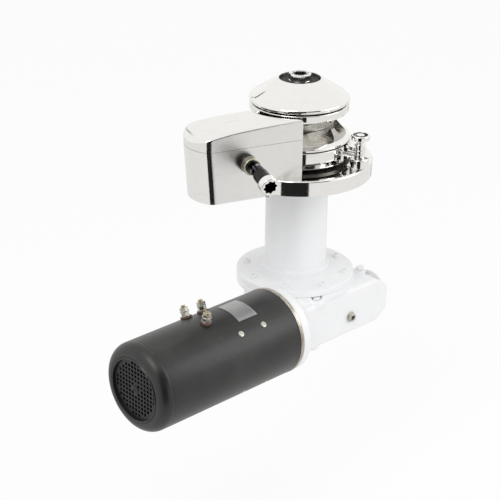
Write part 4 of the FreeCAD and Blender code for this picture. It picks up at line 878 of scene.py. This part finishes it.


# Chainwheel: cast stainless steel, turned outside; brake drum below, seven chain pockets round the waist.
# It runs on a bronze bush on the main shaft and is gripped between two cones.
# Pocket and waist finish: cast stainless whose darker colour is partly painted shade, for the shade under the
# cap; pits and a random tone shift vary it.
cast = Finish("cast_pockets_painted_shade", Metallic=1.0)
pits = cast.noise(320.0, 5.0, 0.65)
tone_shift = cast.band(cast.noise(38.0, 4.0, 0.6), 0.3, 0.7)
cast.feed(Base_Color=cast.mix(tone_shift, (0.40, 0.385, 0.35), (0.60, 0.585, 0.55)),
          Roughness=0.20 + 0.14 * pits, Normal=cast.bump(pits, 0.22, 0.0004))
CHEEK_R, TOP_R = 88.0, 84.5
POCKETS, POCKET_START = 7, 20.0
wheel = turned("chainwheel", [(21, 48), (42.3, 46.6), (50.3, 34.6), (50.3, 31.5), (84, 31.5, 0.5), (84, 62, 0.2),
                              (CHEEK_R, 62.5, 0.9), (CHEEK_R, 66, 1.2), (80.5, 70.5, 2.0), (74, 77.5, 3.0),
                              (66, 87, 2.0), (66, 87.3, 0), (54, 87.3, 1.5), (54, 97.8, 1.5), (66, 97.8, 1.5),
                              (66, 103, 4.0), (82.5, 111, 1.5), (TOP_R, 114.5, 1.0), (TOP_R, 124.5, 1.4),
                              (50.7, 124.5, 0.5), (42.3, 109.1), (21, 108.9)], steel, segments=224)
wheel.data.materials.append(cast.material)


def pocket_tool(angle):
    """Hollow of one chain link: a rounded box lying across the waist, held inside the cheeks."""
    turn = about_z(angle)
    across = eased([(70.5 + 0.001, -24), (109.5, -24), (109.5, 24), (70.5, 24)], 9.5)
    outline = [(y, z) for z, y in across]
    frame_x = turn @ Matrix(((0, 0, 1, 0), (1, 0, 0, 0), (0, 1, 0, 0), (0, 0, 0, 1)))
    tool = block("pocket", outline, 59.0, 100.0, cast.material, frame_x)
    limit = turned("limit", [(40, 62.5), (70, 62.5), (83, 68.5), (75, 111.5), (59, 116.5), (40, 116.5)],
                   cast.material, segments=96, ease=False)
    carve(tool, limit, way="INTERSECT")
    return tool


pockets = [pocket_tool(POCKET_START + 360.0 * i / POCKETS) for i in range(POCKETS)]
carve(wheel, join(*pockets))
soften(wheel, 1.3, 28, 3)
# The waist faces between the cheeks take the darker pocket finish: painted shade.
WAIST_Z, WAIST_R = (66.4, 114.0), (52.0, 80.2)
mark(wheel, cast.material, lambda r, x, y, z: WAIST_Z[0] < z < WAIST_Z[1] and WAIST_R[0] < r < WAIST_R[1])
fit(wheel, "chainwheel", "polished_steel", "gypsy")


# Cap: spun and polished stainless cone with a rolled rim, which the clutch nut pulls down on the chainwheel.
# Its recessed mouth is left dull, with a dark colour painted in as shade, and holds a black ring round the nut.
CAP_R, CAP_Z0, CAP_TOP, MOUTH, SEAT_Z = 85.0, 126.0, 165.5, 37.0, 158.0
# Recess finish: spun streaks on a dark colour that is partly painted shade; it goes in the cap's mouth, the nut's
# socket and the post head's ring recess.
recess_shade_finish = Finish("spun_recess_painted_shade", Metallic=1.0)
streak = recess_shade_finish.noise(130.0, 3.0, 0.6, recess_shade_finish.stretched(1.0, 1.0, 0.05))
recess_shade_finish.feed(Base_Color=recess_shade_finish.mix(recess_shade_finish.band(streak, 0.3, 0.7), (0.14, 0.14, 0.145), (0.42, 0.42, 0.43)),
           Roughness=0.26 + 0.1 * streak, Normal=recess_shade_finish.bump(streak, 0.25, 0.0005))
cap = turned("cap", [(MOUTH - 2, CAP_TOP - 0.6, 0.5), (MOUTH - 1.1, CAP_TOP, 0.5),
                     (MOUTH + 0.6, CAP_TOP - 0.1, 0.8), (CAP_R - 4.6, CAP_Z0 + 11.0, 3.5),
                     (CAP_R - 0.3, CAP_Z0 + 7.4, 3.0), (CAP_R, CAP_Z0 + 4.6, 2.0),
                     (CAP_R - 1.6, CAP_Z0 + 1.4, 3.0), (CAP_R - 4.6, CAP_Z0, 1.5), (79, CAP_Z0, 0.3),
                     (79, CAP_Z0 + 5, 1.0),
                     (46, 151, 1.0), (50, 147), (50, 124.7, 0.3), (42, 109.5), (15.1, 109.5), (15.1, 126),
                     (19.4, 126), (19.4, SEAT_Z), (MOUTH - 2, SEAT_Z)], steel, segments=256)
# The mouth's floor takes the recess finish: painted shade.
mark(cap, recess_shade_finish.material, lambda r, x, y, z: z > SEAT_Z - 0.1 and r < MOUTH - 1.5)
carve(cap, block("key_slot", rect(10, 19.2, -4.1, 4.1), 108, 121.5, steel))
shade(cap, 32)
fit(cap, "cap", "polished_steel", "cap")

rubber = grained("black_rubber", (0.010, 0.010, 0.010), (0.030, 0.030, 0.031), 0.5, 0.2, (140.0, 4.0, 0.6),
                 (0.15, 0.0002), Metallic=0.0, Specular_IOR_Level=0.4)
seal = turned("cap_ring", [(19.45, 158), (34.95, 158), (34.95, 160.6, 1.0), (31, 161, 0.8), (29, 160.2, 0.8),
                           (24, 160.2, 0.8), (22, 161, 0.8), (19.45, 161, 0.5)], rubber, segments=128)
fit(seal, "cap", "seal_rubber", "cap_ring")


# Clutch nut: chromed bronze nut, hexagonal above the cap, with the eight-pointed socket for the handle.
def star(side, turn):
    """Outline of two squares laid one on the other at 45 degrees."""
    out = side / sqrt(2)
    inside = side / 2 / cos(pi / 8)
    return [((out if i % 2 == 0 else inside) * cos(pi / 8 * i + turn + pi / 4),
             (out if i % 2 == 0 else inside) * sin(pi / 8 * i + turn + pi / 4)) for i in range(16)]


NUT_TOP = 173.6
nut = turned("clutch_nut", [(10.05, 130), (19, 130, 0.6), (19, NUT_TOP, 1.3), (16.2, NUT_TOP, 0.6),
                            (15.4, NUT_TOP - 1.0, 0.4), (0, NUT_TOP - 1.0), (0, 153.05), (10.05, 153.05)],
             steel, segments=128)
crown = block("crown", disc(21, sides=96), 162, 176, steel)
flats = block("flats", hexagon(20.7, 0.35), 150, 178, steel)
carve(crown, flats)
carve(nut, crown)
carve(nut, block("star", star(17.5, radians(8)), NUT_TOP - 20, NUT_TOP + 1, steel))
soften(nut, 0.35)
# The socket's inside takes the recess finish: painted shade.
mark(nut, recess_shade_finish.material, lambda r, x, y, z: r < 13 and z > NUT_TOP - 20.6)
fit(nut, "clutch_nut", "polished_steel", "clutch_nut")


# Brake band: two halves of steel strap, polished outside, hinged at the post, lined inside.
# Knuckles welded to the strap ends lie one above the other round the post's pin.
POST_X, POST_Y = 67.0, -96.0
POST = at(POST_X, POST_Y, 0)


def strap(name, start, end, low, high):
    """Rounded strap bent round the drum; angles in degrees."""
    section = eased([(87, low, 0.3), (89.5, low, 0.9), (89.5, high, 0.9), (87, high, 0.3)], 0.3)
    steps = int((end - start) / 1.5)
    rings = []
    for i in range(steps + 1):
        a = radians(start + (end - start) * i / steps)
        rings.append([Vector((r * cos(a), r * sin(a), z)) for r, z in section])
    made = skinned(name, rings, steel, 30, close=False)
    cap_ends(made)
    return made


def cap_ends(piece):
    work = bmesh.new()
    work.from_mesh(piece.data)
    bmesh.ops.holes_fill(work, edges=[e for e in work.edges if e.is_boundary], sides=0)
    bmesh.ops.recalc_face_normals(work, faces=work.faces)
    work.to_mesh(piece.data)
    work.free()
    shade(piece, 30)


def knuckle(low, high, angle):
    """Arm and eye at a strap's end."""
    eye_part = turned("eye", [(5, low), (9, low, 0.6), (9, high, 0.6), (5, high)], steel, POST, 56)
    a = radians(angle)
    edge = Vector((88.6 * cos(a), 88.6 * sin(a)))
    post = Vector((POST_X, POST_Y))
    side = Vector((-(post - edge).y, (post - edge).x)).normalized() * 3
    tip = post + (edge - post).normalized() * 6.5
    arm = block("arm", [edge + side, tip + side, tip - side, edge - side], low, high, steel)
    soften(arm, 0.6)
    return [eye_part, arm]


BAND_LOW, BAND_TOP = 33.0, 61.0
for name, start, end, lug_place, lug_low, eye_place in (
        ("brake_band_front", 200, 302, (87, 97.5, 196.5, 200, 3), BAND_LOW, (45.3, 53.0, 302)),
        ("brake_band_back", -48, 191, (87, 104, 191, 194, 3), 36, (53.3, 59.5, -48))):
    half_band = strap(name, start, end, BAND_LOW, BAND_TOP)
    lug = block("lug", arc_outline(*lug_place), lug_low, BAND_TOP, steel)
    soften(lug, 0.5)
    fit(join(half_band, lug, *knuckle(*eye_place)), "deck_unit", "polished_steel", name)


# Band post: foot block screwed to the base's pad, two knuckles on the pin, a stepped sleeve and a round head.
# All turned from stainless bar and polished; the head's ring-shaped recess takes a pin spanner.
foot = turned("post_foot", [(5, 30), (16, 30, 0.5), (16, 45, 1.5), (5, 45)], steel, POST, 72)
carve(foot, block("sink", disc(4.0, POST_X + 9.2, POST_Y - 6.4, 40), 42, 46, steel))
shade(foot, 30)
fit(foot, "deck_unit", "polished_steel", "post_foot")
screw_frame = at(POST_X + 9.2, POST_Y - 6.4, 42.0)
fit(socket_screw("foot_screw", 3.9, 2.4, 2.5, 12.0, screw_frame, plated), "deck_unit", "zinc", "foot_screw")
pin = turned("post_pin", [(0, 10), (5, 10), (5, 84.5, 0.5), (0, 84.5)], steel, POST, 40)
fit(pin, "deck_unit", "polished_steel", "post_pin")
sleeve = turned("post_spacer", [(5, 59.8), (9, 59.8, 0.6), (9, 70.2, 0.8), (6.5, 70.2, 0.8), (6.5, 77.5),
                                (5, 77.5)], steel, POST, 56)
fit(sleeve, "deck_unit", "polished_steel", "post_spacer")
head = turned("post_head", [(5, 77.5), (16, 77.5, 1.4), (16, 86, 1.8), (12.5, 86, 0.5), (12.5, 82.5, 0.4),
                            (7, 82.5, 0.4), (7, 86, 0.6), (0, 86), (0, 84.5), (5, 84.5)], steel, POST, 80)
# The head's ring recess takes the recess finish: painted shade.
mark(head, recess_shade_finish.material,
     lambda r, x, y, z: 82.3 < z < 85.6 and 6.8 < Vector((x - POST_X, y - POST_Y)).length < 12.7)
fit(head, "deck_unit", "polished_steel", "post_head")


# Chain cover, lower half: stainless casting polished all over, open towards the chainwheel, bolted to the base.
# Its floor has the hawse hole with a turned wear ring; the near flank carries the brake spindle.
SPINDLE_X, SPINDLE_Z = -141.0, 67.0
WALL, CORNER_FROM_NOSE = 5.0, 29.2
HAWSE_X, HAWSE_Y = -117.0, -47.0


def cover_ring(z, inset, cut, lift=None):
    nose = nose_at(z)
    points = []
    for x, y in cover_outline(inset, nose, cut=cut):
        points.append((x, y, z if lift is None else lift(x, y)))
    return points


levels = [SEAM_Z * i / 4 for i in range(5)]
house = skinned("cover_housing", [cover_ring(z, 0.0, COVER_CUT_R) for z in levels], cover_steel, close=False)
cap_ends(house)
space = skinned("space", [cover_ring(z, WALL, COVER_CUT_R - 12) for z in (8.0, 30.0, 60.0, 89.5, 100.0)], steel,
                close=False)
cap_ends(space)
SPINDLE = at(SPINDLE_X, 0, SPINDLE_Z) @ tilt("X", 90)
inner_boss = turned("inner_boss", [(0, 79), (14, 79, 0.8), (14, 87), (0, 87)], steel, SPINDLE, 64)
carve(house, space, block("hawse", disc(24.0, HAWSE_X, HAWSE_Y, 96), -1, 9, steel))
carve(house, inner_boss, way="UNION")
carve(house, block("bore", disc(11.0, sides=64), 70, 95, steel, SPINDLE),
      block("pilot", disc(6.05, sides=48), 1.9, 8, steel, SPINDLE))
soften(house, 0.7, 32, 3)
# Inside finish: rough as-cast steel whose dark colour is partly painted shade, for the shade inside the cover's
# hollow.
as_cast_and_shade = grained("as_cast_inside_painted_shade", (0.16, 0.155, 0.145), (0.30, 0.295, 0.28), 0.42, 0.15, (300.0, 5.0, 0.7),
                  (0.35, 0.0005), Metallic=1.0)


def dull_and_shade_inside(piece, low, high):
    """Faces that look into the hollow, inside the wall's thickness, get the darker as-cast finish, partly painted
    shade.
    """
    def hollow(r, x, y, z):
        offside = abs(y - MIDDLE_Y)
        inset = min(y - NEAR_Y, FAR_Y - y, NOSE_R - Vector((x - nose_at(z) - NOSE_R, offside)).length)
        corner = Vector((x - nose_at(z) - CORNER_FROM_NOSE, offside - CORNER_Y))
        if corner.x < 0 < corner.y:
            inset = min(inset, CORNER_R - corner.length)
        return inset > WALL - 0.6 and low < z < high(x, y)
    mark(piece, as_cast_and_shade, hollow)


dull_and_shade_inside(house, 6.0, lambda x, y: SEAM_Z - 0.8)
fit(house, "deck_unit", "polished_steel", "cover_housing")

HAWSE = at(HAWSE_X, HAWSE_Y, 0)
liner = turned("hawse_liner", [(21, -6, 1.5), (24, -6, 0.5), (24, 8), (27.5, 8, 0.2), (27.5, 11, 1.2),
                               (21, 11, 2.0)], steel, HAWSE, 96)
fit(liner, "deck_unit", "polished_steel", "hawse_liner")


# Chain cover, lid: thin polished casting, domed, rounded along its edges and falling away over the nose.
# Two lugs on the far side turn on pins in forked brackets.
PROFILE = [(-240.0, 88.0), (-232.0, 96.0), (-226.0, 103.5), (-216.0, 109.5), (-203.5, 113.4), (-182.7, 117.2),
           (-163.6, 119.8), (-140.8, 121.8), (-98.2, 124.3), (-62.4, 126.1), (-30.0, 127.3), (0.0, 128.0)]
CROSS = [(-99.0, -5.5), (-95.0, -4.7), (-91.0, -4.0), (-80.0, -2.3), (-62.0, -0.6), (-42.0, 0.0), (-25.0, -1.2),
         (-12.0, -5.0), (-4.0, -10.5), (0.0, -14.3), (4.0, -18.0)]


def smooth_through(points, at):
    """A smooth curve through (x, value) points."""
    xs = np.array([p[0] for p in points])
    ys = np.array([p[1] for p in points])
    slope = np.gradient(ys, xs)
    i = int(np.clip(np.searchsorted(xs, at) - 1, 0, len(xs) - 2))
    h = xs[i + 1] - xs[i]
    t = (at - xs[i]) / h
    return ((2 * t ** 3 - 3 * t ** 2 + 1) * ys[i] + (t ** 3 - 2 * t ** 2 + t) * h * slope[i]
            + (3 * t ** 2 - 2 * t ** 3) * ys[i + 1] + (t ** 3 - t ** 2) * h * slope[i + 1])


def roof(x, y):
    long = smooth_through(PROFILE, x)
    across = 127.3 + smooth_through(CROSS, y) + (x + 250.0) * 5.0 / 230.0
    soft = 2.5
    mixed = max(soft - abs(long - across), 0.0) / soft
    return min(long, across) - mixed * mixed * soft / 4 - 0.9 * ((y + 42.0) / 49.0) ** 2


def lid_solid(name, inset, drop, low, edge, end_edge, cut):
    """Solid under the roof: wall, rounded edge, then the dome closed in shrinking outlines."""
    rings = [cover_ring(low, inset, cut)]
    middle = low + 6.0
    rings.append(cover_ring(middle if middle < 96 else low + 0.1, inset, cut))
    for k in range(7):
        turn = radians(15 * k)
        d = edge * (1 - cos(turn))
        rings.append(cover_ring(SEAM_Z, inset + d, cut + end_edge * (1 - cos(turn)),
                                lambda x, y: roof(x, y) - drop - edge * (1 - sin(turn))))
    for d in (7.5, 10, 13, 17, 21, 25, 29, 33, 36, 39, 41.5, 43.5, 45.0):
        if inset + d < 45.3 and d > edge:
            rings.append(cover_ring(SEAM_Z, inset + d, cut + end_edge + (d - edge) * 0.9,
                                    lambda x, y: roof(x, y) - drop))
    made = skinned(name, rings, cover_steel, close=False)
    cap_ends(made)
    return made


LID_LOW = 90.0
HINGE_PLACES, HINGE_Y, HINGE_Z = (-140.0, -101.0), 4.5, 109.0
lid = lid_solid("cover_lid", 0.0, 0.0, LID_LOW, 5.0, 2.0, COVER_CUT_R)
inner = lid_solid("lid_space", WALL, WALL, 82.0, 3.0, 0.5, COVER_CUT_R - 12)
ACROSS_X = Matrix(((0, 0, 1, 0), (1, 0, 0, 0), (0, 1, 0, 0), (0, 0, 0, 1)))


def hinge_frame(x):
    """Frame at a hinge: Z along the hinge's axis, X towards +Y, Y upwards."""
    return at(x, HINGE_Y, HINGE_Z) @ ACROSS_X


HINGES = [hinge_frame(x) for x in HINGE_PLACES]
HINGE_R, LUG_HALF, PIN_R = 6.0, 2.5, 2.5
clear = [block("clear", disc(HINGE_R + 0.3, sides=48), -7.5, 7.5, steel, hinge) for hinge in HINGES]
carve(lid, inner, *clear)
soften(lid, 0.6, 35, 3)
dull_and_shade_inside(lid, LID_LOW + 0.8, lambda x, y: roof(x, y) - 3.0)
lugs, brackets, pins = [], [], []
round_top = [(HINGE_R * cos(pi * i / 24), HINGE_R * sin(pi * i / 24)) for i in range(25)]
cheek = [(-4.0, -21.5), (-4.0, -43.0), (4.0, -43.0), (4.6, -20.0)] + round_top + [(-4.0, -4.0)]
for hinge in HINGES:
    lug = turned("lug", [(0, -LUG_HALF), (HINGE_R, -LUG_HALF, 0.5), (HINGE_R, LUG_HALF, 0.5), (0, LUG_HALF)],
                 steel, hinge, 48)
    neck = block("neck", rect(-9.5, 0.5, -9.0, -1.0), -LUG_HALF, LUG_HALF, steel, hinge)
    carve(lug, neck, way="UNION")
    carve(lug, block("pin_hole", disc(PIN_R + 0.05, sides=32), -4, 4, steel, hinge))
    soften(lug, 0.4)
    lugs.append(lug)
    for side in (-1, 1):
        brackets.append(block("bracket", cheek, 5 * side - 2, 5 * side + 2, steel, hinge))
        soften(brackets[-1], 0.4)
    brackets.append(block("bracket_plate", rect(-4.5, -1.5, -47.0, -21.5), -7, 7, steel, hinge))
    soften(brackets[-1], 0.5)
    pins.append(turned("pin", [(0, -7), (PIN_R, -7, 0.4), (PIN_R, 7), (4, 7, 0.3), (4, 9, 0.7), (0, 9.3)], steel,
                       hinge, 40))
fit(join(lid, *lugs), "lid", "polished_steel", "cover_lid")
fit(join(*brackets), "deck_unit", "polished_steel", "lid_hinge_brackets")
fit(join(*pins), "deck_unit", "polished_steel", "lid_hinge_pins")


# Brake spindle: steel screw through a bearing sleeve in the cover's flank, held by a set-screw collar; sleeve,
# shank, forks and socket barrel are near-black, a painted dark reflection.
# Outside it ends in a universal joint; the hinged socket takes the winch handle.
# Near-black steel: the dark colour is a painted reflection of black, standing in for what polished steel mirrors
# here; oil mottles it and rubbed edges are lighter.
dark_reflection_black = Finish("blackened_steel_painted_reflection", Metallic=1.0)
oil = dark_reflection_black.band(dark_reflection_black.noise(85.0, 4.0, 0.6), 0.35, 0.7)
rub = dark_reflection_black.band(dark_reflection_black.worn_edges(0.0008), 0.03, 0.3)
oily = dark_reflection_black.mix(oil, (0.030, 0.029, 0.028), (0.065, 0.062, 0.058))
dark_reflection_black.feed(Base_Color=dark_reflection_black.mix(rub * 0.6, oily, (0.35, 0.34, 0.32)),
                 Roughness=0.16 + 0.14 * oil, Normal=dark_reflection_black.bump(dark_reflection_black.noise(420.0), 0.06, 0.0002))
dark_reflection_black = dark_reflection_black.material
sleeve = turned("spindle_boss", [(8.05, 79), (11, 79), (11, 91), (15, 91.02, 0.2), (15, 103.5, 1.8),
                                 (9.2, 103.5, 0.5), (8.05, 102.5)], dark_reflection_black, SPINDLE, 80)
fit(sleeve, "deck_unit", "black_plastic", "spindle_boss")

JOINT = 134.0
spindle = turned("brake_spindle", [(0, 7.5), (6, 7.5, 0.4), (6, 9.5), (6.9, 9.5), (6.9, 66), (8, 66, 0.4),
                                   (8, 119.5), (12, 119.5, 0.4), (12, 122.3, 0.4), (0, 122.3)],
                 dark_reflection_black, SPINDLE, 56)
screw = threaded("spindle_thread", 8.0, 6.9, 10.0, 66.0, 3.0, dark_steel, SPINDLE, 32)


def fork(low, high, frame, material, turn):
    """Two ears of a universal joint, rounded at the tip, with a gap between them."""
    ears = turned("fork", [(0, low), (11.3, low, 3.5), (11.3, high), (0, high)] if low < high else
                  [(0, high), (11.3, high), (11.3, low, 3.5), (0, low)], material, frame, 64)
    spin = about_z(turn)
    a, b = min(low, high) - 1, max(low, high) + 1
    carve(ears, block("gap", rect(-6.3, 6.3, -20, 20), a, b, material, frame @ spin),
          block("side", rect(-20, 20, 4.5, 20), a, b, material, frame @ spin),
          block("side", rect(-20, 20, -20, -4.5), a, b, material, frame @ spin))
    carve(ears, turned("pin_hole", [(0, -20), (3.05, -20), (3.05, 20), (0, 20)], material,
                       frame @ at(0, 0, 0 if abs(low) < 20 else JOINT) @ spin
                       @ tilt("Y", 90), 32, ease=False))
    soften(ears, 0.6)
    return ears


inner_fork = fork(JOINT + 4.8, JOINT - 11.8, SPINDLE, dark_reflection_black, 0.0)
fit(join(spindle, screw, inner_fork), "brake_spindle", "black_plastic", "brake_spindle")

brassy = bright_metal("collar_plate", (0.66, 0.62, 0.50), 0.20)
GRUB = at(SPINDLE_X, -111.5, SPINDLE_Z)
collar = turned("spindle_collar", [(8, 104), (14.5, 104, 1.6), (14.5, 119.4, 1.6), (8, 119.4)], brassy,
                SPINDLE, 80)
carve(collar, turned("set_hole", [(0, 5), (2.5, 5), (2.5, 20), (0, 20)], brassy, GRUB, 32, ease=False))
shade(collar, 30)
grub = turned("grub_screw", [(0, 8.2), (2.4, 8.2), (2.4, 13.6, 0.3), (0, 13.6)], dark_steel, GRUB, 32)
fit(join(collar, grub), "brake_spindle", "zinc", "spindle_collar")

SOCKET_DROOP = 11.5
SOCKET = at(SPINDLE_X, -JOINT, SPINDLE_Z) @ tilt("X", 90 + SOCKET_DROOP)
cube = block("joint_cross", rect(-6, 6, -6, 6), -6, 6, dark_steel, SOCKET)
soften(cube, 0.9)
cross_pins = [turned("cross_pin", [(0, -11.5), (3, -11.5, 0.5), (3, 11.5, 0.5), (0, 11.5)], dark_steel,
                     SOCKET @ tilt(axis, 90), 32) for axis in "XY"]
fit(join(cube, *cross_pins), "joint_cross", "shaft_steel", "joint_cross")

barrel = turned("handle_socket", [(0, 11.7), (12, 11.7, 0.4), (12, 14, 0.3), (12.5, 14.5, 0.3), (12.5, 37.2, 0.8),
                                  (13.4, 38.2, 0.5), (13.4, 52.0), (0, 52.0)], dark_reflection_black, SOCKET, 80)
end_ring = turned("socket_ring", [(0, 38.2), (15.5, 38.2, 1.4), (15.5, 52, 1.6), (0, 52)], steel, SOCKET, 96)
carve(barrel, end_ring, way="UNION")
carve(barrel, block("star", star(17.5, radians(10)), 28.0, 53.0, dark_reflection_black, SOCKET))
soften(barrel, 0.35)
barrel.data.materials.clear()
barrel.data.materials.append(dark_reflection_black)
barrel.data.materials.append(steel)
back_to_socket = SOCKET.inverted()
for face in barrel.data.polygons:
    x, y, z = back_to_socket @ (face.center / MM)
    outside = sqrt(x * x + y * y)
    face.material_index = 1 if z > 38.0 and outside > 8.2 and (outside > 12.4 or z > 51.6) else 0
outer_fork = fork(-4.8, 11.8, SOCKET, dark_reflection_black, 90.0)
fit(join(barrel, outer_fork), "handle_socket", "machined_steel", "handle_socket")
KNOB = SOCKET @ at(0, -13.5, 45.0) @ tilt("X", 90)
knob = turned("socket_screw", [(0, 1.6), (3.0, 1.6), (3.5, 2.2, 0.2), (3.5, 7.6, 0.6), (0, 8.0)], plated,
              KNOB, 36)
flutes = [block("flute", disc(0.35, x, y, 8), 2.0, 9.0, plated, KNOB) for x, y in disc(3.6, sides=18)]
carve(knob, join(*flutes))
shade(knob, 30)
fit(knob, "handle_socket", "zinc", "socket_screw")


# Inner parts, kept as their solids: shaft line, clutch cones, worm drive, motor's inside, brake linings.
# Each group has the finish of its own metal or moulding.
def moulded(name, low, high, rough, scale=160.0, depth=0.15):
    """Non-metal with a mottled colour and a fine grain."""
    return grained(name, low, high, rough, 0.2, (scale, 4.0, 0.65), (depth, 0.0003), Metallic=0.0)


inner_finish = {
    "polished_steel": steel, "machined_steel": ring_metal, "shaft_steel": dark_steel, "white_paint": white,
    "black_paint": black, "black_plastic": plastic, "seal_rubber": rubber,
    "lining": moulded("brake_lining", (0.05, 0.042, 0.034), (0.12, 0.10, 0.08), 0.75, 420.0, 0.4),
    "bronze": bright_metal("bronze", (0.55, 0.36, 0.18), 0.26), "brass": brass, "zinc": plated,
    "red_fibre": fibre, "copper": bright_metal("copper_wire", (0.68, 0.33, 0.17), 0.30, 0.3, 900.0, 0.3),
    "magnet": moulded("magnet", (0.03, 0.03, 0.033), (0.08, 0.08, 0.085), 0.5),
    "carbon": moulded("carbon", (0.02, 0.02, 0.02), (0.05, 0.05, 0.052), 0.45, 500.0),
    "label": plate_metal.material}
for part in frame["record"]["subparts"]:
    node = nodes[part["node"]]
    if not node.hide_render:
        node.data.materials.clear()
        node.data.materials.append(inner_finish[part["material_slot"]])
